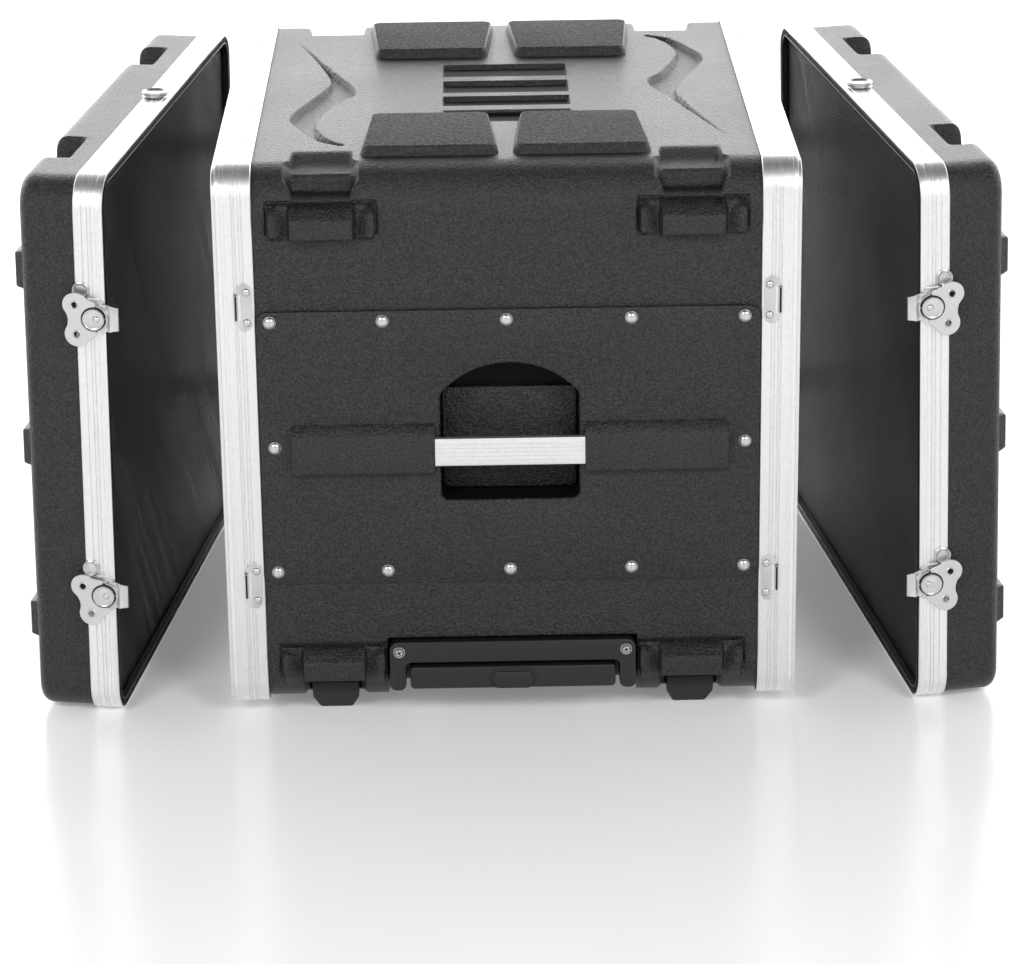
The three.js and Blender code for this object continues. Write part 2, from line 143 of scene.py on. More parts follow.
plasticLooks = {
    "shell": {"colour": (0.0078, 0.0092, 0.0097), "roughness": 0.3, "gloss": 0.41, "speckle": 3.4, "pebbleScale": 480,
              "grainScale": 520, "pebble": 0.7, "grain": 0.9, "pebbleDepth": 0.0006, "grainDepth": 0.0016},
    "pad": {"colour": (0.0115, 0.0128, 0.0134), "roughness": 0.5, "gloss": 0.06, "speckle": 5.0, "pebbleScale": 300,
            "grainScale": 330, "pebble": 0.9, "grain": 1.0, "pebbleDepth": 0.001, "grainDepth": 0.004},
    "inside": {"colour": (0.006, 0.0066, 0.007), "roughness": 0.55, "gloss": 0.0, "speckle": 1.3, "pebbleScale": 900,
               "grainScale": 700, "pebble": 0.08, "grain": 0.1, "pebbleDepth": 0.0004, "grainDepth": 0.0004},
    # Near-black look for the grip pocket walls and the top groove floors: painted shade in these recesses.
    "painted_shade": {"colour": (0.003, 0.003, 0.0032), "roughness": 0.6, "gloss": 0.12, "speckle": 1.3, "pebbleScale": 900,
               "grainScale": 700, "pebble": 0.2, "grain": 0.2, "pebbleDepth": 0.0004, "grainDepth": 0.0004},
    "satin": {"colour": (0.0085, 0.0095, 0.0103), "roughness": 0.36, "gloss": 0.5, "speckle": 1.2, "pebbleScale": 1500,
              "grainScale": 1600, "pebble": 0.1, "grain": 0.12, "pebbleDepth": 0.0004, "grainDepth": 0.0004},
}
shellPlastic = grainedPlastic("shell_plastic", plasticLooks["shell"])
padPlastic = grainedPlastic("pad_plastic", plasticLooks["pad"])
insidePlastic = grainedPlastic("inside_plastic", plasticLooks["inside"])
paintedShadePlastic = grainedPlastic("painted_shade_plastic", plasticLooks["painted_shade"])
satinPlastic = grainedPlastic("satin_plastic", plasticLooks["satin"])


def brushedMetal(name, colour, roughness, scale, stretch, strength):
    material, tree, shader = newMaterial(name, colour, roughness, 1.0)
    place = tree.nodes.new("ShaderNodeTexCoord").outputs["Object"]
    mapping = addNode(tree, "ShaderNodeMapping")
    mapping.inputs["Scale"].default_value = stretch
    tree.links.new(place, mapping.inputs["Vector"])
    streaks = addNode(tree, "ShaderNodeTexNoise", Scale=scale, Detail=4.0, Roughness=0.6)
    tree.links.new(mapping.outputs["Vector"], streaks.inputs["Vector"])
    patches = addNode(tree, "ShaderNodeTexNoise", Scale=25.0, Detail=3.0)
    tree.links.new(place, patches.inputs["Vector"])
    spread = addNode(tree, "ShaderNodeMapRange")
    spread.inputs["To Min"].default_value = roughness - 0.06
    spread.inputs["To Max"].default_value = roughness + 0.08
    tree.links.new(patches.outputs["Fac"], spread.inputs["Value"])
    tree.links.new(spread.outputs["Result"], shader.inputs["Roughness"])
    dim = tuple(channel * 0.94 for channel in colour)
    tree.links.new(colourRamp(tree, streaks.outputs["Fac"], [(0.35, dim), (0.65, colour)]),
                   shader.inputs["Base Color"])
    bumpFrom(tree, shader, [(streaks.outputs["Fac"], strength, 0.00008)])
    return material


aluminium = brushedMetal("ribbed_aluminium", (0.85, 0.855, 0.865), 0.42, 260, (1.0, 1.0, 1.0), 0.12)
plated = brushedMetal("plated_steel", (0.63, 0.635, 0.64), 0.3, 500, (1.0, 1.0, 1.0), 0.15)
# Near-black steel used only as painted shade: in the keeper channel, the gap round each latch drum and the screw cross
# recesses.
paintedShadeSteel = brushedMetal("painted_shade_steel", (0.03, 0.03, 0.032), 0.45, 500, (1.0, 1.0, 1.0), 0.15)


def plainCoat(name, colour, roughness, scale, strength):
    material, tree, shader = newMaterial(name, colour, roughness)
    place = tree.nodes.new("ShaderNodeTexCoord").outputs["Object"]
    grain = addNode(tree, "ShaderNodeTexNoise", Scale=scale, Detail=3.0)
    tree.links.new(place, grain.inputs["Vector"])
    dark = tuple(channel * 0.8 for channel in colour)
    tree.links.new(colourRamp(tree, grain.outputs["Fac"], [(0.3, dark), (0.7, colour)]),
                   shader.inputs["Base Color"])
    bumpFrom(tree, shader, [(grain.outputs["Fac"], strength, 0.0003)])
    return material


rubber = plainCoat("black_rubber", (0.006, 0.006, 0.006), 0.7, 600, 0.3)
railPaint = plainCoat("rail_paint", (0.02, 0.02, 0.021), 0.42, 900, 0.2)
print("materials ready")


# ---- making pieces

def addPiece(name, mesh, body, materials, replaces=(), place=Matrix(), sharp=35, closed=True):
    bmesh.ops.remove_doubles(mesh, verts=mesh.verts, dist=0.001)
    bmesh.ops.transform(mesh, matrix=toFrame @ place, verts=mesh.verts)
    if closed:
        bmesh.ops.recalc_face_normals(mesh, faces=mesh.faces)
    for face in mesh.faces:
        face.smooth = True
    data = bpy.data.meshes.new(name)
    mesh.to_mesh(data)
    mesh.free()
    data.set_sharp_from_angle(angle=radians(sharp))
    for material in materials:
        data.materials.append(material)
    piece = bpy.data.objects.new(name, data)
    bpy.context.scene.collection.objects.link(piece)
    if replaces:
        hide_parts(*replaces)
    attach(piece, body)
    return piece


def smoothStep(low, high, value):
    t = min(max((value - low) / (high - low), 0.0), 1.0)
    return t * t * (3 - 2 * t)


def gridLines(low, high, step, edges=(), spread=(-2.2, -1.1, 0, 1.1, 2.2), fine=()):
    count = max(1, round((high - low) / step))
    lines = [low + (high - low) * i / count for i in range(count + 1)]
    for start, end, pitch in fine:
        parts = max(1, round((end - start) / pitch))
        lines += [start + (end - start) * i / parts for i in range(parts + 1)]
    lines += [edge + shift for edge in edges for shift in spread]
    lines = sorted(line for line in lines if low <= line <= high)
    kept = [lines[0]]
    for line in lines[1:-1]:
        if line - kept[-1] > 0.7 and high - line > 0.7:
            kept.append(line)
    return kept + [high]


def along(profile, value):
    # Height of a profile of (place, height) points at a value.
    if value <= profile[0][0]:
        return profile[0][1]
    for (a, ha), (b, hb) in zip(profile, profile[1:]):
        if value <= b:
            return ha + (hb - ha) * (value - a) / (b - a)
    return profile[-1][1]


def onPath(path, fraction):
    # Point at a fraction of the length of a polyline.
    lengths = [0.0]
    for (y0, z0), (y1, z1) in zip(path, path[1:]):
        lengths.append(lengths[-1] + hypot(y1 - y0, z1 - z0))
    target = fraction * lengths[-1]
    for i in range(len(path) - 1):
        if target <= lengths[i + 1] or i == len(path) - 2:
            share = (target - lengths[i]) / (lengths[i + 1] - lengths[i])
            return (path[i][0] + (path[i + 1][0] - path[i][0]) * share,
                    path[i][1] + (path[i + 1][1] - path[i][1]) * share)


def placeGrid(mesh, across, down, locate):
    # Lays a grid whose crossings are located by a function of the two line values.
    made = bmesh.ops.create_grid(mesh, x_segments=len(across) - 1, y_segments=len(down) - 1, size=1)
    for vert in made["verts"]:
        i = round((vert.co.x + 1) / 2 * (len(across) - 1))
        j = round((vert.co.y + 1) / 2 * (len(down) - 1))
        vert.co = locate(across[i], down[j])
    return made["verts"]


# ---- case shell

shell = {"roundEnd": 26.9, "roundMiddle": 36, "end": 252.2, "featureX": 162, "notchHalf": 26,
         "padDepth": 8.5, "waveDepth": 4.6, "grooveDepth": 4.5, "roofExtra": 4}
bumper = {"lobeHalf": 47, "centreHalf": 28.3, "corner": 5, "gutter": 3.5,
          "lobe": [(-0.5, 0), (0.5, 3.5), (2, 7), (4, 8), (24.3, 8), (25.8, 7.2), (27.3, 5), (28.8, 2), (30, 0)],
          "centre": [(-1, 0), (-0.2, 8), (1.5, 12.6), (3.3, 14), (18.8, 14), (20.2, 13.2), (21.6, 11.4), (24, 8.6),
                     (26.5, 5.6), (28.6, 2.4), (30, 0)]}
leftWaveOut = [(-207, -143), (-204, -150), (-189, -166.7), (-149, -184.4), (-105, -195.3), (-38.6, -177.6),
               (22.4, -161.9), (95.5, -173.8), (190, -198)]
leftWaveIn = [(-207, -143), (-204, -143), (-189.6, -156), (-153.5, -168.9), (-113.7, -169.4), (-55.2, -153.8),
              (-14.3, -137.3), (78.6, -164.6), (172, -192.2), (190, -198)]


def curveAt(points, value):
    # Smooth curve through (place, height) points.
    if value <= points[0][0]:
        return points[0][1]
    if value >= points[-1][0]:
        return points[-1][1]
    for i in range(len(points) - 1):
        (a, ha), (b, hb) = points[i], points[i + 1]
        if value <= b:
            before = points[max(i - 1, 0)]
            after = points[min(i + 2, len(points) - 1)]
            slopeA = (hb - before[1]) / max(b - before[0], 1e-6)
            slopeB = (after[1] - ha) / max(after[0] - a, 1e-6)
            width = b - a
            t = (value - a) / width
            return ((2 * t ** 3 - 3 * t ** 2 + 1) * ha + (t ** 3 - 2 * t ** 2 + t) * width * slopeA
                    + (3 * t ** 2 - 2 * t ** 3) * hb + (t ** 3 - t ** 2) * width * slopeB)


def waveDepth(x, y):
    deepest = 0.0
    for u, v in ((x, y), (-x, -y)):
        if -207 < v < 190 and -215 < u < -120:
            outer = curveAt(leftWaveOut, v)
            inner = curveAt(leftWaveIn, v)
            slope = abs(curveAt(leftWaveOut, v + 2) - outer) / 2
            slopeIn = abs(curveAt(leftWaveIn, v + 2) - inner) / 2
            reach = min((u - outer) / hypot(1, slope), (inner - u) / hypot(1, slopeIn))
            deepest = max(deepest, smoothStep(-0.6, 2.8, reach))
    return -shell["waveDepth"] * deepest


grooveRows = [(-128, -88), (-68, -34), (-18, 26), (44, 92)]


def grooveAt(x, y):
    deepest = 0.0
    for low, high in grooveRows:
        reach = min(x + 56, 62 - x, y - low, high - y)
        deepest = max(deepest, smoothStep(-0.4, 2.4, reach))
    return deepest


def bumperHeight(x, z, bottom):
    dx = min(abs(x - shell["featureX"]), abs(x + shell["featureX"]))
    up = z - bottom
    if dx > 52 or not -4 < up < 38:
        return 0.0
    # The lobes have round outer corners, and their tops fall away towards the middle block.
    past = min(max((dx - bumper["lobeHalf"] + bumper["corner"]) / bumper["corner"], 0.0), 1.0)
    corner = bumper["corner"] * (1 - (1 - past * past) ** 0.5)
    if up > 14:
        shifted = up + corner + 5 * (1 - smoothStep(32, 45, dx))
    else:
        shifted = up - corner
    edge = 1 - smoothStep(bumper["lobeHalf"] - 1.2, bumper["lobeHalf"], dx)
    valley = 1 - 0.7 * smoothStep(43, 30, dx)
    lobe = along(bumper["lobe"], shifted) * edge * valley
    core = along(bumper["centre"], up) * (1 - smoothStep(bumper["centreHalf"] - 1, bumper["centreHalf"] + 1.6, dx))
    # A narrow gutter runs above the bumper and down its ends.
    above = smoothStep(29.8, 30.8, up) * (1 - smoothStep(33, 34, up)) * (1 - smoothStep(46.5, 49, dx))
    beside = smoothStep(46.4, 47.2, dx) * (1 - smoothStep(48, 49.6, dx)) * smoothStep(2, 6, up) * (1 - smoothStep(32, 34, up))
    return max(lobe, core) - bumper["gutter"] * max(above, 0.5 * beside)


def sectionStations(steps):
    # Stations round the section from the middle of the bottom, by the near side, top and far side.
    flatY = skinY - 37
    flatLow = skinLow + 37
    flatTop = skinTop - 37
    stations = []

    def addFlat(kind, lines, backwards=False):
        ordered = list(reversed(lines)) if backwards else lines
        stations.extend((kind, value) for value in ordered)

    def addCorner(kind, start, end, count):
        stations.extend((kind, start + (end - start) * i / count) for i in range(1, count))

    addFlat("bottom", gridLines(-flatY, 0, steps["bottom"]), backwards=True)
    addCorner("nearLow", 270, 180, steps["lowCorner"])
    addFlat("near", gridLines(flatLow, flatTop, steps["side"], edges=steps["nearEdges"], fine=steps["nearFine"]))
    addCorner("nearTop", 180, 90, steps["topCorner"])
    addFlat("top", gridLines(-flatY, flatY, steps["top"], edges=steps["topEdges"], spread=(-1.2, 0, 1.2)))
    addCorner("farTop", 90, 0, steps["topCorner"])
    addFlat("far", gridLines(flatLow, flatTop, steps["side"], fine=steps["farFine"]), backwards=True)
    addCorner("farLow", 0, -90, steps["lowCorner"])
    addFlat("bottom", gridLines(0, flatY, steps["bottom"]), backwards=True)
    return stations


def sectionPoint(station, radius, inset=0.0):
    kind, value = station
    half = skinY - inset
    low = skinLow + inset
    top = skinTop - inset
    radius = radius - inset
    corners = {"nearLow": (-half + radius, low + radius), "nearTop": (-half + radius, top - radius),
               "farTop": (half - radius, top - radius), "farLow": (half - radius, low + radius)}
    if kind in corners:
        angle = radians(value)
        y, z = corners[kind]
        return y + radius * cos(angle), z + radius * sin(angle), cos(angle), sin(angle)
    return {"bottom": (value, low, 0, -1), "near": (-half, value, -1, 0),
            "top": (value, top, 0, 1), "far": (half, value, 1, 0)}[kind]


# Recesses as (first station test, last station test, path, half width test); paths run the way the stations do.
notchPath = [(-289.5, 488.8), (-289.1, 490), (-287.8, 491.1), (-285, 491.6), (-275, 491.6), (-272, 492.4),
             (-270, 494.6), (-268.8, 498), (-268.4, 501.5), (-267.2, 504.6), (-264.5, 506.4), (-260, 507.2),
             (-250, 507.6), (-242.5, 507.8), (-239.5, 508.8), (-229, 514.8), (-226, 516.2), (-222, 516.4)]
towPath = [(-226, 12.6), (-229, 12.8), (-259.4, 24.6), (-261.4, 25.8), (-262, 27.4), (-262, 76), (-262.6, 77.4),
           (-288.6, 77.6), (-290.1, 78.2), (-290.4, 80)]
wellPath = [(290.4, 60), (290.2, 56.5), (288.8, 55.2), (234.6, 55), (233.2, 54), (233, 13.6), (232, 12.6), (228, 12.6)]


def buildRecesses(stations, inset):
    # Lengths along the plain section, to match each recess path to its stretch of stations.
    points = [sectionPoint(station, 36, inset) for station in stations]
    run = [0.0]
    for a, b in zip(points, points[1:]):
        run.append(run[-1] + hypot(b[0] - a[0], b[1] - a[1]))
    middle = len(stations) // 2

    def stretch(test, part):
        chosen = [i for i in part if test(points[i])]
        return chosen[0], chosen[-1]

    near = range(0, middle)
    far = range(middle, len(stations))
    spans = []
    farNotch = [(-y, z) for y, z in reversed(notchPath)]
    for part, path, test, kind in (
            (near, notchPath, lambda p: p[1] > 488.3 and p[0] < -221, "notch"),
            (far, farNotch, lambda p: p[1] > 488.3 and p[0] > 221, "notch"),
            (near, towPath, lambda p: p[1] < 80.5 and p[0] < -225, "tow"),
            (far, wellPath, lambda p: p[1] < 60.5 and p[0] > 227, "well")):
        first, last = stretch(test, part)
        for i in range(first, last + 1):
            fraction = (run[i] - run[first]) / (run[last] - run[first])
            y, z = onPath(path, fraction)
            if inset:
                inward = (-1 if y > 0 else 1, 1 if kind in ("tow", "well") else -1)
                y += inward[0] * inset
                z += inward[1] * inset
            spans.append((i, kind, y, z, fraction))
    table = {}
    for i, kind, y, z, fraction in spans:
        table.setdefault(i, []).append((kind, y, z, fraction))
    return table


def recessWeight(kind, x, fraction, y, extra):
    if kind == "tow":
        return 1 - smoothStep(112 + extra, 113.5 + extra, abs(x))
    dx = min(abs(x - shell["featureX"]), abs(x + shell["featureX"]))
    if kind == "well":
        return 1 - smoothStep(12 + extra, 13.5 + extra, dx)
    nearness = fraction if y < 0 else 1 - fraction
    flare = 6 * smoothStep(0.12, 0.26, nearness) * (1 - smoothStep(0.5, 0.62, nearness))
    return 1 - smoothStep(shell["notchHalf"] - 1.5 + extra, shell["notchHalf"] + 2 + flare + extra, dx)


def shellSkin(mesh, across, stations, inset):
    recesses = buildRecesses(stations, inset)
    order = {station: i for i, station in enumerate(stations)}

    def locate(x, station):
        blendRound = smoothStep(shell["end"] - 30, shell["end"] - 8, abs(x))
        radius = shell["roundMiddle"] + (shell["roundEnd"] - shell["roundMiddle"]) * blendRound
        y, z, outY, outZ = sectionPoint(station, radius, inset)
        lift = 0.0
        if not inset:
            if station[0] in ("near", "nearLow", "nearTop") and z < 492:
                y -= bumperHeight(x, z, 455) + bumperHeight(x, z, 40)
                dx = min(abs(x - shell["featureX"]), abs(x + shell["featureX"]))
                lift -= 5 * (1 - smoothStep(23, 30, dx)) * (1 - smoothStep(33, 38, z))
            if station[0] in ("far", "farTop") and z < 492:
                y += bumperHeight(x, z, 455)
            if station[0] == "top":
                lift += waveDepth(x, y) - shell["grooveDepth"] * grooveAt(x, y)
        elif station[0] == "top":
            # The roof is thicker inside, under the channels and grooves.
            lift -= shell["roofExtra"] * smoothStep(228, 212, abs(y)) * (1 - smoothStep(225, 240, abs(x)))
        y += outY * lift
        z += outZ * lift
        for kind, ry, rz, fraction in recesses.get(order[station], ()):
            weight = recessWeight(kind, x, fraction, ry, inset)
            y += (ry - y) * weight
            z += (rz - z) * weight
        return Vector((x, y, z))

    return placeGrid(mesh, across, stations, locate)


def openEdges(mesh, test):
    return [edge for edge in mesh.edges if edge.is_boundary and all(test(vert.co) for vert in edge.verts)]


def makeShell():
    mesh = bmesh.new()
    feature = shell["featureX"]
    edges = [s * (feature + d) for s in (-1, 1) for d in (-49, -47, -30, -28, 28, 30, 47, 49, -13, 13)]
    edges += [-112.5, 112.5, -56, 62]
    across = gridLines(-shell["end"], shell["end"], 9, edges=edges, spread=(-2, -1, 0, 1, 2),
                       fine=[(-213, -111, 2.9), (111, 213, 2.9), (-197, -182, 1.4), (-142, -127, 1.4),
                             (127, 142, 1.4), (182, 197, 1.4), (-68, -68, 1), (68, 68, 1)])
    steps = {"bottom": 22, "lowCorner": 8, "side": 14, "topCorner": 36, "top": 3.3,
             "nearEdges": (70, 76, 79.5), "topEdges": (),
             "nearFine": [(36, 80, 1.2), (452, 479.4, 1.2), (200, 200, 1), (352, 352, 1)],
             "farFine": [(452, 479.4, 1.6), (49, 62, 2), (200, 200, 1), (352, 352, 1)]}
    stations = sectionStations(steps)
    shellSkin(mesh, across, stations, 0)
    innerAcross = gridLines(-shell["end"], shell["end"], 36,
                            edges=[s * (feature + d) for s in (-1, 1) for d in (-31, 31, -17, 17)] + [-117, 117],
                            spread=(-1.2, 1.2), fine=[(-68, -68, 1), (68, 68, 1)])
    innerSteps = {"bottom": 40, "lowCorner": 8, "side": 40, "topCorner": 14, "top": 24, "nearEdges": (),
                  "topEdges": (), "nearFine": [(60, 80, 5), (200, 200, 1), (352, 352, 1)],
                  "farFine": [(49, 62, 4), (200, 200, 1), (352, 352, 1)]}
    innerFrom = len(mesh.faces)
    shellSkin(mesh, innerAcross, sectionStations(innerSteps), case["wall"])
    mesh.faces.ensure_lookup_table()
    for face in mesh.faces[innerFrom:]:
        face.material_index = 2
    bmesh.ops.remove_doubles(mesh, verts=mesh.verts, dist=0.002)
    # Windows for the grip pockets, then the open ends.
    for side in (-1, 1):
        window = [face for face in mesh.faces if abs(face.calc_center_median().x) < 68
                  and 200 < face.calc_center_median().z < 352 and face.calc_center_median().y * side > 270]
        bmesh.ops.delete(mesh, geom=window, context="FACES")
        rim = openEdges(mesh, lambda co: abs(co.x) < 70 and 198 < co.z < 354 and co.y * side > 270)
        bmesh.ops.bridge_loops(mesh, edges=rim)
    for side in (-1, 1):
        rim = openEdges(mesh, lambda co: co.x * side > shell["end"] - 1)
        bmesh.ops.bridge_loops(mesh, edges=rim)
    # Faces in the top grooves take the near-black plastic: painted shade in the grooves.
    for face in mesh.faces:
        centre = face.calc_center_median()
        if centre.z > 505 and abs(centre.y) < 240 and face.material_index == 0:
            if grooveAt(centre.x, centre.y) > 0.9:
                face.material_index = 3
    bmesh.ops.recalc_face_normals(mesh, faces=mesh.faces)
    addTopPads(mesh)
    return mesh


topPad = {"front": 62.5, "back": 55, "near": -246, "far": -121, "middle": 67.3, "corner": 9, "slope": 3.2}


def bevelEdges(mesh, edges, width, segments=2):
    return bmesh.ops.bevel(mesh, geom=edges, offset=width, segments=segments, profile=0.5,
                           affect="EDGES", material=-1, clamp_overlap=True)


def slab(mesh, outline, low, high, axis="Z"):
    # A closed prism of an outline, raised along one axis.
    spots = {"Z": lambda a, b: (a, b, low), "Y": lambda a, b: (a, low, b), "X": lambda a, b: (low, a, b)}[axis]
    step = {"Z": (0, 0, high - low), "Y": (0, high - low, 0), "X": (high - low, 0, 0)}[axis]
    verts = [mesh.verts.new(spots(a, b)) for a, b in outline]
    bottom = mesh.faces.new(verts)
    raised = bmesh.ops.extrude_face_region(mesh, geom=[bottom], use_keep_orig=True)
    topVerts = [item for item in raised["geom"] if isinstance(item, bmesh.types.BMVert)]
    topFace = [item for item in raised["geom"] if isinstance(item, bmesh.types.BMFace)][0]
    bmesh.ops.translate(mesh, vec=step, verts=topVerts)
    return verts, topVerts, topFace


def roundCorners(points, radius, steps=4):
    # An outline with each corner turned into an arc; radius is a number or one for each corner.
    rounded = []
    count = len(points)
    for i, (x, y) in enumerate(points):
        size = radius[i] if isinstance(radius, (list, tuple)) else radius
        if size <= 0:
            rounded.append((x, y))
            continue
        px, py = points[i - 1]
        nx, ny = points[(i + 1) % count]
        toPrev = Vector((px - x, py - y)).normalized()
        toNext = Vector((nx - x, ny - y)).normalized()
        half = toPrev.angle(toNext) / 2
        reach = size / max(1e-6, abs(sin(half) / cos(half)))
        start = Vector((x, y)) + toPrev * reach
        end = Vector((x, y)) + toNext * reach
        centre = Vector((x, y)) + (toPrev + toNext).normalized() * (size / sin(half))
        a = start - centre
        b = end - centre
        turn = a.angle_signed(b) if a.length > 0 and b.length > 0 else 0
        for k in range(steps + 1):
            angle = -turn * k / steps
            rounded.append((centre.x + a.x * cos(angle) - a.y * sin(angle),
                            centre.y + a.x * sin(angle) + a.y * cos(angle)))
    return rounded


def rectangle(x0, x1, y0, y1, radius, steps=4):
    return roundCorners([(x0, y0), (x1, y0), (x1, y1), (x0, y1)], radius, steps)


def addTopPads(mesh):
    for sideX in (-1, 1):
        for sideY in (-1, 1):
            part = bmesh.new()
            corners = [(-topPad["front"], topPad["near"]), (topPad["front"], topPad["near"]),
                       (topPad["back"], topPad["far"]), (-topPad["back"], topPad["far"])]
            outline = roundCorners(corners, topPad["corner"], 5)
            _, topVerts, topFace = slab(part, outline, skinTop - 2, skinTop + shell["padDepth"])
            middle = Vector((0, (topPad["near"] + topPad["far"]) / 2, 0))
            for vert in topVerts:
                vert.co.x *= 1 - topPad["slope"] / topPad["front"]
                vert.co.y = middle.y + (vert.co.y - middle.y) * (1 - topPad["slope"] / 62.5)
            bevelEdges(part, list(topFace.edges), 1.8, 3)
            part.faces.ensure_lookup_table()
            for face in part.faces:
                level = all(vert.co.z > skinTop + shell["padDepth"] - 0.3 for vert in face.verts)
                face.material_index = 1 if level else 0
            shift = Matrix.Translation((sideX * topPad["middle"], 0, 0))
            flip = Matrix.Rotation(pi, 4, "Z") if sideY > 0 else Matrix()
            bmesh.ops.transform(part, matrix=shift @ flip, verts=part.verts)
            joinInto(mesh, part)


def joinInto(mesh, part):
    # Adds one bmesh to another and frees it.
    data = bpy.data.meshes.new("part")
    part.to_mesh(data)
    part.free()
    mesh.from_mesh(data)
    bpy.data.meshes.remove(data)


addPiece("case_shell_skin", makeShell(), "case", [shellPlastic, padPlastic, insidePlastic, paintedShadePlastic],
         replaces=["case_shell"], closed=False)
print("case shell ready")


# ---- aluminium edge frames

def sweepFrame(mesh, profile, halfWidth, low, high, radius):
    # Sweeps a closed profile of (u, depth) points round the rounded rectangle; depth is measured inwards.
    start = [mesh.verts.new((u, -(halfWidth - radius), low + depth)) for u, depth in profile]
    edges = [mesh.edges.new((a, b)) for a, b in zip(start, start[1:] + start[:1])]
    straightY = 2 * (halfWidth - radius)
    straightZ = high - low - 2 * radius
    runs = [((0, straightY, 0), (halfWidth - radius, low + radius)),
            ((0, 0, straightZ), (halfWidth - radius, high - radius)),
            ((0, -straightY, 0), (-(halfWidth - radius), high - radius)),
            ((0, 0, -straightZ), (-(halfWidth - radius), low + radius))]
    for step, (centreY, centreZ) in runs:
        raised = bmesh.ops.extrude_edge_only(mesh, edges=edges)
        verts = [item for item in raised["geom"] if isinstance(item, bmesh.types.BMVert)]
        edges = [item for item in raised["geom"] if isinstance(item, bmesh.types.BMEdge)]
        bmesh.ops.translate(mesh, vec=step, verts=verts)
        turned = bmesh.ops.spin(mesh, geom=verts + edges, cent=(0, centreY, centreZ), axis=(1, 0, 0),
                                angle=pi / 2, steps=12, use_merge=False)
        edges = [item for item in turned["geom_last"] if isinstance(item, bmesh.types.BMEdge)]
    bmesh.ops.remove_doubles(mesh, verts=mesh.verts, dist=0.01)


caseFrameProfile = [(-3.2, 4.3), (-2.8, 3.9), (0, 3.9), (0, 1.0), (0.35, 0.3), (1.1, 0.05), (4.2, 0), (4.5, 0.55),
                    (7.1, 0.55), (7.4, 0), (13.6, 0), (14.0, 0.8), (14.5, 0.8), (14.9, 0), (15.9, 0), (16.3, 0.8),
                    (16.8, 0.8), (17.2, 0), (19.3, 0), (19.7, 0.8), (20.2, 0.8), (20.6, 0), (22.0, 0),
                    (22.4, 0.8), (22.9, 0.8), (23.3, 0), (29.6, 0), (30.8, 0.2), (31.4, 0.7), (31.6, 1.3),
                    (31.3, 1.8), (1.8, 1.8), (1.8, 9.3), (0, 9.3), (0, 5.7), (-3.0, 5.7), (-3.2, 5.4)]
lidFrameProfile = [(0, 1.0), (0.35, 0.3), (1.1, 0.05), (4.2, 0), (4.5, 0.5), (6.6, 0.5), (6.9, 0), (9.9, 0),
                   (10.3, 0.8), (10.8, 0.8), (11.2, 0), (12.9, 0), (13.3, 0.8), (13.8, 0.8), (14.2, 0),
                   (18.0, 0), (18.4, 0.8), (18.9, 0.8), (19.3, 0), (24.6, 0), (25.8, 0.2), (26.4, 0.7),
                   (26.6, 1.3), (26.3, 1.8), (5.8, 1.8), (5.8, 9.3), (0.3, 9.3), (0, 9.0), (0, 8.1), (0.3, 7.8),
                   (4, 7.8), (4, 1.8), (0, 1.8)]


def dome(mesh, centre, out, radius, height, rim=0.0, steps=14):
    # A domed rivet head by spinning a quarter profile about its own axis.
    out = Vector(out)
    side = out.orthogonal().normalized()
    points = [(0.0, height)]
    points += [(radius * sin(k * pi / 10), height * cos(k * pi / 10)) for k in range(1, 5)]
    points += [(radius, 0.12 * height), (radius, -1.0)]
    if rim:
        points = points[:-1] + [(radius + rim, 0.08 * height), (radius + rim, -1.0)]
    points.append((0.0, -1.0))
    verts = [mesh.verts.new(Vector(centre) + side * r + out * h) for r, h in points]
    edges = [mesh.edges.new((a, b)) for a, b in zip(verts, verts[1:])]
    bmesh.ops.spin(mesh, geom=verts + edges, cent=centre, axis=out, angle=2 * pi, steps=steps, use_merge=True)


keeper = {"plateLow": 224.5, "plateHigh": 238.5, "halfTall": 21.8, "lipLow": 237.2, "lipHigh": 240.2, "lipHalf": 12}


def addKeeper(mesh, side, z):
    # Strike plate with rounded ends, two rivets and an upright lip, with a thin near-black plate beside the lip as the
    # painted shadow of the channel under it.
    face = side * case["halfWidth"]
    out = (0, side, 0)
    plate = bmesh.new()
    outline = rectangle(keeper["plateLow"], keeper["plateHigh"], z - keeper["halfTall"], z + keeper["halfTall"], 6.6, 6)
    _, _, top = slab(plate, outline, face - side * 0.5, face + side * 1.5, "Y")
    bevelEdges(plate, list(top.edges), 0.45, 2)
    for shift in (-14, 14):
        dome(plate, Vector((229.4, face + side * 1.5, z + shift)), out, 3.7, 2.2, rim=0.5, steps=16)
    lip = rectangle(keeper["lipLow"], keeper["lipHigh"], z - keeper["lipHalf"], z + keeper["lipHalf"], 1.2, 3)
    _, _, lipTop = slab(plate, lip, face, face + side * 3.8, "Y")
    bevelEdges(plate, list(lipTop.edges), 0.6, 3)
    for item in plate.faces:
        item.material_index = 1
    plateFaces = len(plate.faces)
    # Thin near-black plate beside the lip: painted shadow of the channel.
    shadowSlot = rectangle(keeper["lipLow"] - 2.6, keeper["lipLow"] + 0.1, z - keeper["lipHalf"], z + keeper["lipHalf"], 1.1, 3)
    slab(plate, shadowSlot, face, face + side * 1.62, "Y")
    plate.faces.ensure_lookup_table()
    for item in plate.faces[plateFaces:]:
        item.material_index = 2
    joinInto(mesh, plate)


def addStakes(mesh, z):
    # Three punched marks at each fixing of the frame's top face.
    for y in (-176, -58.7, 58.7, 176):
        for shift in (-5.2, 0, 5.2):
            dome(mesh, Vector((235.5, y + shift, z)), (0, 0, 1), 1.5, 0.5, steps=8)


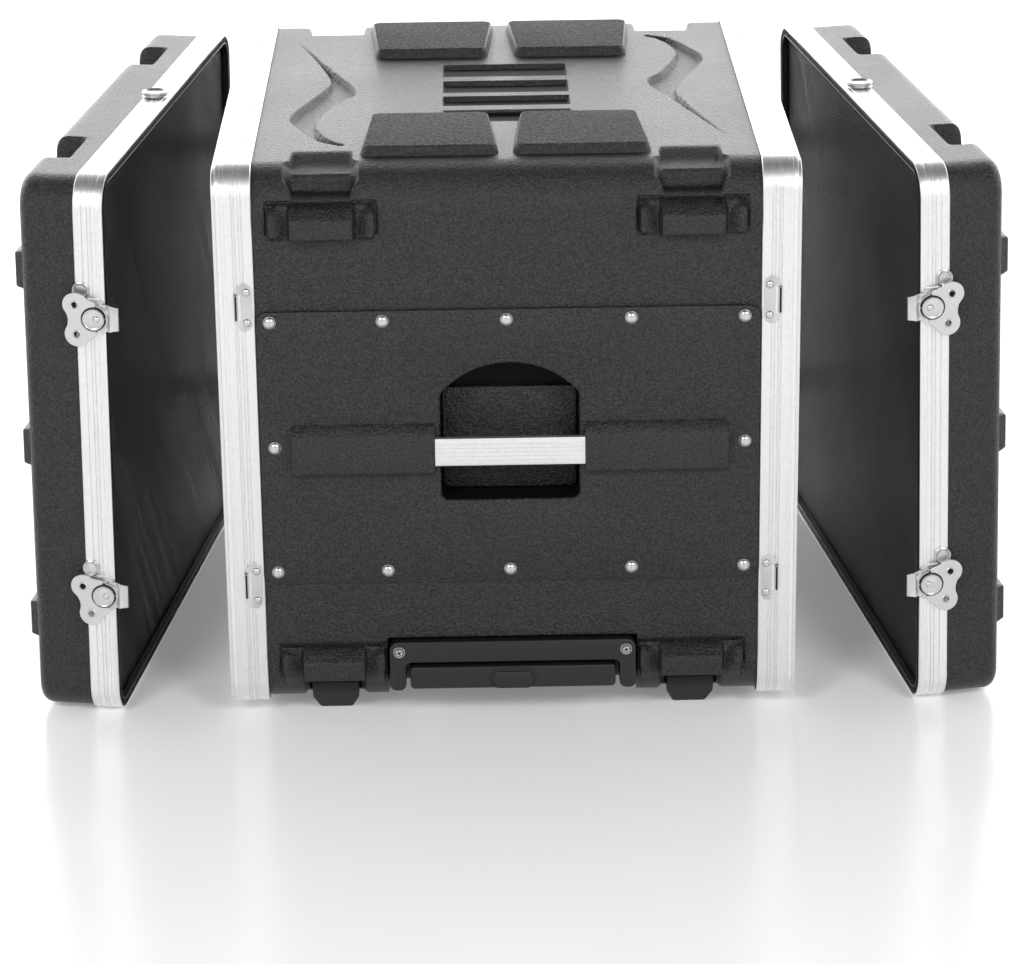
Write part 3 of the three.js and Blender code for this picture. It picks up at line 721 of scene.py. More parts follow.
for side, name in ((1, "right"), (-1, "left")):
    mesh = bmesh.new()
    sweepFrame(mesh, caseFrameProfile, case["halfWidth"], case["low"], case["low"] + case["height"],
               case["cornerRadius"])
    # u runs inwards from the open end.
    bmesh.ops.transform(mesh, matrix=Matrix.Translation((case["halfLength"], 0, 0)) @ Matrix.Scale(-1, 4, (1, 0, 0)),
                        verts=mesh.verts)
    for nearFar in (-1, 1):
        for level in latchHeights.values():
            addKeeper(mesh, nearFar, case["low"] + level)
    addStakes(mesh, case["low"] + case["height"])
    turn = Matrix() if side > 0 else Matrix.Rotation(pi, 4, "Z")
    addPiece(f"{name}_case_frame_extrusion", mesh, "case", [aluminium, plated, paintedShadeSteel],
             replaces=[f"{name}_case_frame"], place=turn, sharp=28)
print("case frames ready")


# ---- side panels with their grip pockets

panel = {"halfX": 221.8, "low": 133.5, "high": 389.5, "corner": 10, "thick": 2.6, "pocketHalf": 61.5,
         "pocketLow": 211.5, "pocketShoulder": 311, "pocketHigh": 339.5, "pocketDepth": 35, "backPad": 28.5,
         "padIn": 66.6, "padOut": 194, "padLow": 237.5, "padHigh": 285, "padProud": 9}
rivetSpots = [(-210, 380), (-111, 380), (-2, 380), (108, 380), (208, 380), (-209, 263.5), (209, 263.5),
              (-210, 145), (-111, 145), (-1, 145), (108, 145), (209, 145)]


def pocketOutline(grow=0.0):
    # Straight sides under a shallow arch with small round shoulders.
    half = panel["pocketHalf"] + grow
    low = panel["pocketLow"] - grow
    high = panel["pocketHigh"] + grow
    rise = high - panel["pocketShoulder"]
    radius = (half * half + rise * rise) / (2 * rise)
    sweep = asin(half / radius)
    steps = 14
    arch = [(radius * sin(sweep * (1 - 2 * k / steps)), high - radius + radius * cos(sweep * (1 - 2 * k / steps)))
            for k in range(steps + 1)]
    radii = [7, 7, 9] + [0] * (steps - 1) + [9]
    return roundCorners([(-half, low), (half, low)] + arch, radii, 6)


def ringOf(mesh, points):
    verts = [mesh.verts.new(point) for point in points]
    return [mesh.edges.new((a, b)) for a, b in zip(verts, verts[1:] + verts[:1])]


def loft(mesh, rings, capStart=False, capEnd=False):
    # Joins rings of points in order, with the ends left open or capped.
    loops = [ringOf(mesh, ring) for ring in rings]
    for a, b in zip(loops, loops[1:]):
        bmesh.ops.bridge_loops(mesh, edges=a + b)
    if capStart:
        bmesh.ops.contextual_create(mesh, geom=loops[0])
    if capEnd:
        bmesh.ops.contextual_create(mesh, geom=loops[-1])
    return loops


def plateOutline(grow):
    return rectangle(-panel["halfX"] - grow, panel["halfX"] + grow, panel["low"] - grow, panel["high"] + grow,
                     panel["corner"] + grow, 5)


def makePanel():
    # Drawn for the near side, with its face at y = front.
    back = -(skinY + 0.3)
    front = back - panel["thick"]
    mesh = bmesh.new()

    def ring(outline, depth):
        return [(x, front + depth, z) for x, z in outline]

    rim = loft(mesh, [ring(plateOutline(grow), depth) for grow, depth in
                      ((-0.9, 0), (-0.3, 0.2), (0, 0.8), (0, panel["thick"]))])
    pocket = loft(mesh, [ring(pocketOutline(grow), depth) for grow, depth in
                         ((2.4, 0), (1.2, 0.35), (0.4, 1.2), (0, 2.6), (-0.6, panel["pocketDepth"] - 2),
                          (-1.8, panel["pocketDepth"]))], capEnd=True)
    # Pocket walls deeper than 2.7 mm and the pocket's end take the near-black plastic: painted shade inside the grip
    # pocket.
    for face in mesh.faces:
        if face.calc_center_median().y > front + 2.7:
            face.material_index = 1
    backPad = bmesh.new()
    _, _, padFace = slab(backPad, rectangle(-60.2, 60.2, 213.2, 308.5, 6.5, 5), front + panel["pocketDepth"] + 0.5,
                         front + panel["backPad"], "Y")
    bevelEdges(backPad, list(padFace.edges), 1.3, 3)
    joinInto(mesh, backPad)
    bmesh.ops.triangle_fill(mesh, edges=rim[0] + pocket[0], use_beauty=True, normal=(0, -1, 0))
    dish = rectangle(-65.5, 65.5, 204, 346, 8, 5)
    shelf = loft(mesh, [ring(dish, panel["thick"]), ring(dish, panel["thick"] + 36)], capEnd=True)
    # The moulded dish behind the face is open to the arch.
    bmesh.ops.triangle_fill(mesh, edges=rim[-1] + shelf[0], use_beauty=True, normal=(0, 1, 0))
    # Raised pads either side of the grip bar.
    for side in (-1, 1):
        pad = bmesh.new()
        outline = [(front + 1, panel["padLow"] + 0.5), (front - 8, panel["padLow"] + 2.2), (front - 9, panel["padLow"] + 4),
                   (front - 9, panel["padHigh"] - 11), (front - 8, panel["padHigh"] - 8.6),
                   (front - 0.6, panel["padHigh"] - 0.8), (front + 1, panel["padHigh"])]
        slab(pad, outline, panel["padIn"], panel["padOut"], "X")
        bevelEdges(pad, [edge for edge in pad.edges if edge.calc_face_angle(0) > 0.5], 2.0, 4)
        bmesh.ops.transform(pad, matrix=Matrix.Scale(side, 4, (1, 0, 0)), verts=pad.verts)
        joinInto(mesh, pad)
    return mesh, front


for side, name in ((-1, "near"), (1, "far")):
    mesh, front = makePanel()
    turn = Matrix() if side < 0 else Matrix.Rotation(pi, 4, "Z")
    addPiece(f"{name}_panel_moulding", mesh, "case", [shellPlastic, paintedShadePlastic],
             replaces=[f"{name}_side_panel"], place=turn, sharp=32)
    rivets = bmesh.new()
    for x, z in rivetSpots:
        dome(rivets, (x, front, z), (0, -1, 0), 5.3, 3.1, rim=0.3, steps=20)
    addPiece(f"{name}_panel_rivets", rivets, "case", [plated], place=turn)

grip = {"half": 78, "low": 246.4, "high": 272.7, "deep": 8, "ribs": 6}


def makeGrip(front):
    # Extruded bar: a fluted face between two rounded edges.
    mesh = bmesh.new()
    height = grip["high"] - grip["low"]
    outer = front - grip["deep"]
    outline = [(front - 0.5, grip["low"] + 1), (outer + 1.6, grip["low"]), (outer + 0.4, grip["low"] + 0.6),
               (outer, grip["low"] + 1.8)]
    for k in range(1, grip["ribs"]):
        z = grip["low"] + 1.8 + (height - 3.6) * k / grip["ribs"]
        outline += [(outer, z - 0.55), (outer + 0.45, z - 0.3), (outer + 0.45, z + 0.3), (outer, z + 0.55)]
    outline += [(outer, grip["high"] - 1.8), (outer + 0.4, grip["high"] - 0.6), (outer + 1.6, grip["high"]),
                (front - 0.5, grip["high"] - 1)]
    slab(mesh, outline, -grip["half"], grip["half"], "X")
    return mesh


for side, name in ((-1, "near"), (1, "far")):
    turn = Matrix() if side < 0 else Matrix.Rotation(pi, 4, "Z")
    addPiece(f"{name}_grip_extrusion", makeGrip(-(skinY + 0.3) - panel["thick"]), "case", [aluminium],
             replaces=[f"{name}_grip_bar"], place=turn, sharp=25)
print("side panels ready")


# ---- lids

def lidPlace(name):
    lid = lids[name]
    angle = lid["turn"] if lid["side"] > 0 else 180 - lid["turn"]
    turn = Matrix.Rotation(radians(angle), 4, "Z") @ Matrix.Rotation(radians(-lid["lean"]), 4, "Y")
    corner = turn @ Vector((0, -lid["side"] * case["halfWidth"], 0))
    x, y = lid["corner"]
    return Matrix.Translation((x - corner.x, y - corner.y, 0)) @ turn


lidLook = {"notchY": 176, "notchHalf": 35, "notchFrom": 47, "ribHeights": (-166, 0, 166), "ribHalf": 19,
           "faceRound": 11, "round": 26.9, "cornerSteps": 10, "notchFade": 40}


def trayLines():
    # Lines along the straight parts, shared by the sides and the outer face so that they meet point to point.
    straightY = case["halfWidth"] - case["skin"] - lidLook["round"]
    lowZ = case["skin"] + lidLook["round"]
    highZ = case["height"] - lowZ
    ribEdges = [case["height"] / 2 + middle + s * d
                for middle in lidLook["ribHeights"] for s in (-1, 1) for d in (19, 15)]
    return (gridLines(-straightY, straightY, 14, fine=[(-216, -136, 3), (136, 216, 3)]),
            gridLines(lowZ, highZ, 16, edges=ribEdges, spread=(-1.2, 0, 1.2)))


def trayProfile(inset):
    # (u, depth) from the rim along the side, round the outer edge, up to the start of the outer face.
    depth = lidShape["depth"] - inset
    turn = lidLook["faceRound"] - inset
    points = [(u, 0) for u in (6.2, 14, 22, 27, 30, 34, 38, 42, 46, 50, 54, 58, 62)]
    points += [(depth - turn + turn * sin(k * pi / 12), turn - turn * cos(k * pi / 12)) for k in range(0, 7)]
    return points


def notchWeight(y):
    off = abs(abs(y) - lidLook["notchY"])
    return 1 - smoothStep(lidLook["notchHalf"] - 8, lidLook["notchHalf"] + 2, off)


def scallop(u, depth, weight):
    # Pushes the outer edge of the tray in to the saddle of a stacking notch.
    reach = u - lidLook["notchFrom"]
    if reach <= 0 or weight <= 0:
        return u, depth
    floor = 17 * smoothStep(0, 7, reach) + 2.6 * smoothStep(8, 22, reach)
    return u - 1.5 * weight * smoothStep(16, 23, reach), depth + (floor - min(depth, floor)) * weight


def traySkin(mesh, inset):
    half = skinY - inset
    low = case["skin"] + inset
    high = case["height"] - case["skin"] - inset
    radius = lidLook["round"] - inset
    linesY, linesZ = trayLines()
    corners = [(half - radius, low + radius), (half - radius, high - radius),
               (radius - half, high - radius), (radius - half, low + radius)]
    straights = [[(y, low, 0, 1) for y in linesY], [(half, z, -1, 0) for z in linesZ],
                 [(y, high, 0, -1) for y in reversed(linesY)], [(-half, z, 1, 0) for z in reversed(linesZ)]]
    path = []
    for quarter, straight in enumerate(straights):
        path += straight
        cy, cz = corners[quarter]
        for step in range(1, lidLook["cornerSteps"]):
            angle = radians(90 * (quarter - 1 + step / lidLook["cornerSteps"]))
            path.append((cy + radius * cos(angle), cz + radius * sin(angle), -cos(angle), -sin(angle)))
    path.append(path[0])
    profile = trayProfile(inset)

    def locate(spot, station):
        y, z, inY, inZ = station
        u, depth = scallop(*spot, notchWeight(y) if inY == 0 else 0.0)
        return Vector((u, y + inY * depth, z + inZ * depth))

    placeGrid(mesh, profile, path, locate)
    bmesh.ops.remove_doubles(mesh, verts=mesh.verts, dist=0.002)


def ribHeight(y, z):
    # Ribs on the outer face, with rounded ends and soft shoulders.
    best = 0.0
    for middle in lidLook["ribHeights"]:
        across = lidLook["ribHalf"] - abs(z - case["height"] / 2 - middle)
        lengthways = case["halfWidth"] - 14 - abs(y)
        best = max(best, smoothStep(0, 4, min(across, lengthways)))
    return best


def trayFace(mesh, inset):
    # The outer face fills the loop that the sides leave, with the same points on its edge.
    depth = lidShape["depth"] - inset
    turn = lidLook["faceRound"] - inset
    corner = lidLook["round"] - lidLook["faceRound"]
    reach = [corner * tan(radians(90 * k / lidLook["cornerSteps"])) for k in range(1, lidLook["cornerSteps"] // 2 + 1)]
    linesY, linesZ = ([lines[0] - r for r in reversed(reach)] + lines + [lines[-1] + r for r in reach]
                      for lines in trayLines())
    straightY = linesY[-1] - corner
    lowZ, highZ = linesZ[0], linesZ[-1]
    middleZ = (lowZ + highZ) / 2
    straightZ = highZ - middleZ - corner

    def locate(y, z):
        # Corners of the sheet are drawn in to the round of the section.
        pastY = max(abs(y) - straightY, 0)
        pastZ = max(abs(z - middleZ) - straightZ, 0)
        near = min(z - lowZ, highZ - z)
        lift = ribHeight(y, z) * lidShape["rib"]
        x, sunk = scallop(depth, turn, notchWeight(y) * max(0.0, 1 - near / lidLook["notchFade"]))
        if pastY > 0 and pastZ > 0:
            shrink = max(pastY, pastZ) / hypot(pastY, pastZ) - 1
            y += pastY * shrink * (1 if y > 0 else -1)
            z += pastZ * shrink * (1 if z > middleZ else -1)
        return Vector((x + lift, y, z + (sunk - turn) * (1 if z < middleZ else -1)))

    placeGrid(mesh, linesY, linesZ, locate)


def makeTray():
    mesh = bmesh.new()
    for inset in (0, case["wall"]):
        part = bmesh.new()
        traySkin(part, inset)
        trayFace(part, inset)
        bmesh.ops.remove_doubles(part, verts=part.verts, dist=0.05)
        for face in part.faces:
            face.material_index = 1 if inset else 0
        joinInto(mesh, part)
    rim = openEdges(mesh, lambda co: co.x < 8)
    bmesh.ops.bridge_loops(mesh, edges=rim)
    return mesh


def insideFrame(spot):
    # Deeper than the frame's own wall, measured from the rounded rectangle outside it.
    inner = case["halfWidth"] - case["cornerRadius"]
    past = (max(abs(spot.y) - inner, 0), max(abs(spot.z - case["height"] / 2) - case["height"] / 2 + case["cornerRadius"], 0))
    return case["cornerRadius"] - hypot(*past) > 2.2


for name in lids:
    mesh = bmesh.new()
    sweepFrame(mesh, lidFrameProfile, case["halfWidth"], 0, case["height"], case["cornerRadius"])
    for face in mesh.faces:
        face.material_index = 1 if insideFrame(face.calc_center_median()) else 0
    addPiece(f"{name}_lid_extrusion", mesh, f"{name}_lid", [aluminium, satinPlastic],
             replaces=[f"{name}_lid_frame"], place=lidPlace(name), sharp=28)
    addPiece(f"{name}_lid_moulding", makeTray(), f"{name}_lid", [shellPlastic, insidePlastic],
             replaces=[f"{name}_lid_tray"], place=lidPlace(name), sharp=32)
print("lids ready")


# ---- twist latches

latch = {"inset": 9.3, "wingHeight": 7, "drumRadius": 9.8, "lobe": 11.3, "lobeX": 15.5, "lobeY": 13.5,
         "plate": 1.5, "hole": 2.7}


def latchBase(nearFar, level):
    # From the latch's own frame to the lid's: x away from the case, z out of the lid's side.
    side = -1 if nearFar == "near" else 1
    out = Vector((0, side, 0))
    across = Vector((0, 0, -side))
    pose = Matrix((Vector((1, 0, 0)), across, out)).transposed().to_4x4()
    pose.translation = Vector((latch["inset"], side * case["halfWidth"], latchHeights[level]))
    return pose


def cutHoles(mesh, outline, holes, low, high, rounding=0.35):
    # A plate with holes: its faces are filled between rings, its edges lofted.
    rims = []
    for points, sign in [(outline, 1)] + [(hole, -1) for hole in holes]:
        centreX = sum(point[0] for point in points) / len(points)
        centreY = sum(point[1] for point in points) / len(points)
        rings = []
        for grow, height in ((-rounding, low), (0, low + rounding), (0, high - rounding), (-rounding, high)):
            ring = []
            for i, (x, y) in enumerate(points):
                px, py = points[i - 1]
                nx, ny = points[(i + 1) % len(points)]
                normal = Vector((ny - py, px - nx)).normalized() * sign
                ring.append((x + normal.x * grow * sign * sign, y + normal.y * grow, height))
            rings.append(ring)
        loops = loft(mesh, rings)
        rims.append((loops[0], loops[-1]))
    bmesh.ops.triangle_fill(mesh, edges=[edge for low, _ in rims for edge in low], use_beauty=True, normal=(0, 0, -1))
    bmesh.ops.triangle_fill(mesh, edges=[edge for _, top in rims for edge in top], use_beauty=True, normal=(0, 0, 1))


def circle(x, y, radius, steps=20, start=0.0, end=360.0):
    full = abs(end - start) > 359
    count = steps if full else steps + 1
    return [(x + radius * cos(radians(start + (end - start) * k / steps)),
             y + radius * sin(radians(start + (end - start) * k / steps))) for k in range(count)]


def wingOutline():
    # Butterfly: two round lobes, a waist on the outer side and an open jaw round the drum.
    lobe = latch["lobe"]
    x, y = latch["lobeX"], latch["lobeY"]
    points = circle(x, y, lobe, 16, -38, 150)
    points += [(-1.6, 15.2), (-2.6, 13.6), (-2.6, 11.6), (-0.6, 11.1)]
    points += circle(0, 0, 11.1, 14, 88, -88)
    points += [(-0.6, -11.1), (-2.6, -11.6), (-2.6, -13.6), (-1.6, -15.2)]
    points += circle(x, -y, lobe, 16, -150, 38)
    points += [(23.4, -4.2), (22.9, 0), (23.4, 4.2)]
    return points


def makeWing():
    mesh = bmesh.new()
    low = latch["wingHeight"] - latch["plate"] / 2
    high = latch["wingHeight"] + latch["plate"] / 2
    holes = [circle(16, s * 13.5, latch["hole"], 16) for s in (-1, 1)]
    cutHoles(mesh, wingOutline(), holes, low, high, 0.3)
    # Raised rims round the finger holes.
    for s in (-1, 1):
        ring = bmesh.new()
        loops = loft(ring, [[(16 + (x - 16) * k, s * 13.5 + (y - s * 13.5) * k, h)
                             for x, y in circle(16, s * 13.5, 2.9, 16)]
                            for k, h in ((1.0, high - 0.2), (1.05, high + 0.3), (1.3, high + 0.35), (1.5, high - 0.2))])
        bmesh.ops.bridge_loops(ring, edges=loops[0] + loops[-1])
        joinInto(mesh, ring)
    return mesh


def makeDrum():
    # Turned cap with a raised rim, a dished face and an off-centre rivet.
    mesh = bmesh.new()
    radius = latch["drumRadius"]
    profile = [(0, 8.5), (radius - 1.9, 8.5), (radius - 1.3, 8.7), (radius - 0.7, 9.1), (radius - 0.25, 9.0),
               (radius, 8.5), (radius, 4.2), (radius - 0.4, 3.8), (3, 3.8), (3, 1.6), (0, 1.6)]
    verts = [mesh.verts.new((r, 0, z)) for r, z in profile]
    edges = [mesh.edges.new((a, b)) for a, b in zip(verts, verts[1:])]
    bmesh.ops.spin(mesh, geom=verts + edges, cent=(0, 0, 0), axis=(0, 0, 1), angle=2 * pi, steps=40, use_merge=True)
    dome(mesh, (-2.5, 0, 8.5), (0, 0, 1), 3.1, 1.9, rim=0.55, steps=20)
    return mesh


def makeTongue():
    # Pressed strip that slides over the lid's base plate, with a bent-down hook.
    mesh = bmesh.new()
    sections = [(14, 2.0, 3.3, 12.2), (-10.2, 2.0, 3.3, 12.2), (-11.4, 2.3, 3.5, 12.3), (-14.3, 4.8, 6.0, 12.2),
                (-15.6, 5.0, 6.2, 11.4), (-20.9, 5.0, 6.2, 10.6), (-22.0, 4.6, 5.9, 10.5), (-22.5, 3.6, 4.6, 10.5)]
    rings = [[(x, -half, low), (x, half, low), (x, half, high), (x, -half, high)] for x, low, high, half in sections]
    loft(mesh, rings, capStart=True, capEnd=True)
    bevelEdges(mesh, [edge for edge in mesh.edges if edge.calc_face_angle(0) > 0.7], 0.35, 2)
    # Pressed arrowhead.
    arrow = bmesh.new()
    _, _, top = slab(arrow, [(-11.4, -2.0), (-9.6, 0), (-11.4, 2.0), (-13.0, 0)], 3.4, 5.8)
    bevelEdges(arrow, list(top.edges), 0.35, 2)
    joinInto(mesh, arrow)
    return mesh


def makeBasePlate(mesh):
    # Plate under the latch, seen round the drum, and the eyelet above it.
    plate = bmesh.new()
    outline = rectangle(-8.2, 13.5, -16.8, 16.8, 4, 4)
    _, _, top = slab(plate, outline, -0.4, 1.3)
    bevelEdges(plate, list(top.edges), 0.4, 2)
    joinInto(mesh, plate)
    collar = bmesh.new()
    ringPoints = circle(0, 0, 1, 24, 100, 260)
    rings = []
    for radius, height in ((10.9, 1.4), (10.9, 5.6), (11.4, 6.1), (12.3, 6.0), (12.7, 5.4), (12.9, 1.4)):
        rings.append([(x * radius, y * radius, height) for x, y in ringPoints])
    strips = []
    for ring in rings:
        verts = [collar.verts.new(point) for point in ring]
        strips.append([collar.edges.new((a, b)) for a, b in zip(verts, verts[1:])])
    for a, b in zip(strips, strips[1:] + strips[:1]):
        bmesh.ops.bridge_loops(collar, edges=a + b)
    bmesh.ops.holes_fill(collar, edges=[edge for edge in collar.edges if edge.is_boundary], sides=8)
    joinInto(mesh, collar)
    # Near-black ring in the gap between the drum and the butterfly: painted shade of the gap.
    washer = bmesh.new()
    ring = [washer.verts.new((r, 0, z)) for r, z in ((8.5, 4.0), (8.5, 5.7), (10.9, 5.7), (10.9, 4.0))]
    edges = [washer.edges.new((a, b)) for a, b in zip(ring, ring[1:] + ring[:1])]
    bmesh.ops.spin(washer, geom=ring + edges, cent=(0, 0, 0), axis=(0, 0, 1), angle=2 * pi, steps=36, use_merge=True)
    for face in washer.faces:
        face.material_index = 1
    joinInto(mesh, washer)


def addEyelet(mesh, x, y):
    # Round boss with a bright rolled rim.
    profile = [(0, 1.1), (4.9, 1.1), (5.4, 1.3), (5.9, 2.1), (6.6, 2.4), (7.3, 2.0), (7.6, 1.0), (7.6, -0.5), (0, -0.5)]
    verts = [mesh.verts.new((x + r, y, z)) for r, z in profile]
    edges = [mesh.edges.new((a, b)) for a, b in zip(verts, verts[1:])]
    bmesh.ops.spin(mesh, geom=verts + edges, cent=(x, y, 0), axis=(0, 0, 1), angle=2 * pi, steps=32, use_merge=True)


for name, lid in lids.items():
    for where in ("near", "far"):
        for level in latchHeights:
            label = f"{name}_{where}_{level}"
            # The left lid is turned round, so its own far side stands nearest.
            ownSide = where if lid["side"] > 0 else ("far" if where == "near" else "near")
            base = lidPlace(name) @ latchBase(ownSide, level)
            turned = base @ Matrix.Rotation(radians(latchTurn.get(label, 0)), 4, "Z")
            addPiece(f"{label}_latch_cap", makeDrum(), f"{label}_latch_drum", [plated],
                     replaces=[f"{label}_latch_drum"], place=turned, sharp=25)
            addPiece(f"{label}_latch_butterfly", makeWing(), f"{label}_latch_wing", [plated],
                     replaces=[f"{label}_latch_wing"], place=turned, sharp=30)
            addPiece(f"{label}_latch_strip", makeTongue(), f"{label}_latch_tongue", [plated],
                     replaces=[f"{label}_latch_tongue"], place=base, sharp=30)
            plate = bmesh.new()
            makeBasePlate(plate)
            # The eyelet sits above the drum in the world, whichever way the latch frame is turned.
            upSign = 1 if ownSide == "near" else -1
            addEyelet(plate, 12.2, 24.5 * upSign)
            addPiece(f"{label}_latch_plate", plate, f"{name}_lid", [plated, paintedShadeSteel], place=base, sharp=30)
print("latches ready")


# ---- lid top fittings

def makeBoss():
    mesh = bmesh.new()
    top = case["height"]
    profile = [(0, 3.4), (8.2, 3.6), (9.6, 4.2), (10.4, 5.1), (11.4, 5.5), (12.2, 5.1), (12.4, 4.2), (11.4, 3.0),
               (11.6, 1.6), (12.3, 0.7), (0, 0.7)]
    verts = [mesh.verts.new((r, 0, top + z)) for r, z in profile]
    edges = [mesh.edges.new((a, b)) for a, b in zip(verts, verts[1:])]
    bmesh.ops.spin(mesh, geom=verts + edges, cent=(0, 0, 0), axis=(0, 0, 1), angle=2 * pi, steps=40, use_merge=True)
    stem = [(0, -12), (2.4, -12), (2.6, -11.8), (2.6, 1.2), (0, 1.2)]
    verts = [mesh.verts.new((r, 0, top + z)) for r, z in stem]
    edges = [mesh.edges.new((a, b)) for a, b in zip(verts, verts[1:])]
    bmesh.ops.spin(mesh, geom=verts + edges, cent=(0, 0, 0), axis=(0, 0, 1), angle=2 * pi, steps=16, use_merge=True)
    return mesh


for name, lid in lids.items():
    place = lidPlace(name) @ Matrix.Translation((16, lid["side"] * 7.5, 0))
    addPiece(f"{name}_lid_stud", makeBoss(), f"{name}_lid_carrier", [plated],
             replaces=[f"{name}_lid_top_boss"], place=place, sharp=25)


# ---- pull handle, feet, wheels and rails

tow = {"half": 112, "low": 28, "high": 75.6, "mouthHalf": 97, "mouthTop": 55, "face": -295.8, "back": -262.4,
       "gripHalf": 93.3, "gripLow": 30.4, "gripHigh": 52.2, "gripFace": -298.8, "screwZ": 66}


def makeBezel():
    # An inverted U, smooth, with rounded outer corners and a screw at each shoulder.
    mesh = bmesh.new()
    outline = roundCorners([(-tow["half"], tow["low"]), (-tow["mouthHalf"], tow["low"]),
                            (-tow["mouthHalf"], tow["mouthTop"]), (tow["mouthHalf"], tow["mouthTop"]),
                            (tow["mouthHalf"], tow["low"]), (tow["half"], tow["low"]), (tow["half"], tow["high"]),
                            (-tow["half"], tow["high"])], [6, 6, 5, 5, 6, 6, 9, 9], 5)
    _, _, top = slab(mesh, outline, tow["back"], tow["face"], "Y")
    bevelEdges(mesh, list(top.edges), 1.4, 4)
    return mesh


def addScrew(mesh, x, z, face):
    # Washer ring round a pan head whose cross recess is painted near-black as its shade.
    washer = [(4.1, 0.4), (4.5, 1.0), (5.0, 1.0), (5.5, 0.3), (5.5, -0.6), (4.1, -0.6)]
    ring = [mesh.verts.new((x + r, face - h, z)) for r, h in washer]
    edges = [mesh.edges.new((a, b)) for a, b in zip(ring, ring[1:] + ring[:1])]
    bmesh.ops.spin(mesh, geom=ring + edges, cent=(x, face, z), axis=(0, 1, 0), angle=2 * pi, steps=28, use_merge=True)
    part = bmesh.new()
    star = [(x + reach * cos(2 * pi * (k + 0.5) / 16), z + reach * sin(2 * pi * (k + 0.5) / 16))
            for k, reach in enumerate((2.5, 2.5, 0.95, 0.95) * 4)]
    head = [(x + 3.5 * cos(2 * pi * (k + 0.5) / 16), z + 3.5 * sin(2 * pi * (k + 0.5) / 16)) for k in range(16)]
    loft(part, [[(a, face + 0.4, b) for a, b in head], [(a, face - 0.9, b) for a, b in head],
                [(x + (a - x) * 0.84, face - 1.8, z + (b - z) * 0.84) for a, b in head],
                [(a, face - 2.0, b) for a, b in star], [(a, face - 0.9, b) for a, b in star]],
         capStart=True, capEnd=True)
    # Faces of the cross recess take the near-black steel: painted shade in the recess.
    for item in part.faces:
        deepest = max(vert.co.y for vert in item.verts)
        if all(hypot(vert.co.x - x, vert.co.z - z) < 2.6 for vert in item.verts) and deepest > face - 1.2:
            item.material_index = 1
    joinInto(mesh, part)


def makePullGrip():
    mesh = bmesh.new()
    outline = rectangle(-tow["gripHalf"], tow["gripHalf"], tow["gripLow"], tow["gripHigh"], 4, 4)
    verts, _, top = slab(mesh, outline, -276, tow["gripFace"], "Y")
    bevelEdges(mesh, list(top.edges), 2.4, 5)
    # Raised lip round the button.
    ring = bmesh.new()
    base = rectangle(-21.6, 21.6, 30.6, 50.4, 9.6, 8)
    rings = [[(x * k, tow["gripFace"] - d, 40.5 + (z - 40.5) * m) for x, z in base] for k, m, d in
             ((1.0, 1.0, -0.6), (1.0, 1.0, 0.3), (0.985, 0.97, 0.7), (0.95, 0.92, 0.7), (0.935, 0.9, 0.2),
              (0.935, 0.9, -0.6))]
    loops = loft(ring, rings)
    bmesh.ops.bridge_loops(ring, edges=loops[0] + loops[-1])
    joinInto(mesh, ring)
    return mesh


def makeButton():
    mesh = bmesh.new()
    outline = rectangle(-18.9, 18.9, 31.4, 47.6, 7.9, 8)
    _, _, top = slab(mesh, outline, -291.2, -300.4, "Y")
    bevelEdges(mesh, list(top.edges), 1.6, 4)
    return mesh


addPiece("tow_bezel_moulding", makeBezel(), "case", [satinPlastic], replaces=["tow_bezel"])
screws = bmesh.new()
for x in (-103, 103):
    addScrew(screws, x, tow["screwZ"], tow["face"])
addPiece("tow_bezel_screws", screws, "case", [plated, paintedShadeSteel], sharp=30)
addPiece("tow_grip_moulding", makePullGrip(), "tow_handle", [satinPlastic], replaces=["tow_grip"])
addPiece("tow_button_cap", makeButton(), "tow_button", [satinPlastic], replaces=["tow_button"])


foot = {"halfTop": 21, "halfBase": 14.8, "top": 34, "bandLow": 25, "front": -285.6, "toe": -263.5, "back": -241}


def makeFoot(x):
    # A wedge: an upright band over a face that slopes back to the floor.
    mesh = bmesh.new()
    outline = roundCorners([(x - foot["halfBase"], 0), (x + foot["halfBase"], 0), (x + foot["halfTop"], 15),
                            (x + foot["halfTop"], foot["top"]), (x - foot["halfTop"], foot["top"]),
                            (x - foot["halfTop"], 15)], [4, 4, 3, 0, 0, 3], 4)
    slab(mesh, outline, foot["back"], foot["front"], "Y")
    slope = Vector((0, foot["bandLow"], foot["front"] - foot["toe"])).normalized()
    bmesh.ops.bisect_plane(mesh, geom=list(mesh.verts) + list(mesh.edges) + list(mesh.faces), dist=0.001,
                           plane_co=(x, foot["toe"], 0), plane_no=(0, -abs(slope.y), -abs(slope.z)), clear_outer=True)
    bmesh.ops.holes_fill(mesh, edges=[edge for edge in mesh.edges if edge.is_boundary], sides=0)
    bevelEdges(mesh, [edge for edge in mesh.edges if edge.calc_face_angle(0) > 0.5
                      and max(vert.co.y for vert in edge.verts) < foot["back"] - 2], 1.3, 3)
    return mesh


def makeWheel(x):
    # Tyre with a rounded tread and two grooves, on a hub disc.
    mesh = bmesh.new()
    profile = [(4.4, -10.6), (7.5, -10.6), (8.2, -9.4), (14.5, -8.2), (16.2, -10.2), (17.2, -10.8), (20.8, -10.8),
               (23.2, -9.6), (24.6, -6.6), (24.9, -4.2), (24.3, -3.9), (24.3, -3.1), (25, -2.8), (25, 2.8),
               (24.3, 3.1), (24.3, 3.9), (24.9, 4.2), (24.6, 6.6), (23.2, 9.6), (20.8, 10.8), (17.2, 10.8),
               (16.2, 10.2), (14.5, 8.2), (8.2, 9.4), (7.5, 10.6), (4.4, 10.6)]
    verts = [mesh.verts.new((x + u, 262, 25 + r)) for r, u in profile]
    edges = [mesh.edges.new((a, b)) for a, b in zip(verts, verts[1:] + verts[:1])]
    bmesh.ops.spin(mesh, geom=verts + edges, cent=(x, 262, 25), axis=(1, 0, 0), angle=2 * pi, steps=48, use_merge=True)
    return mesh


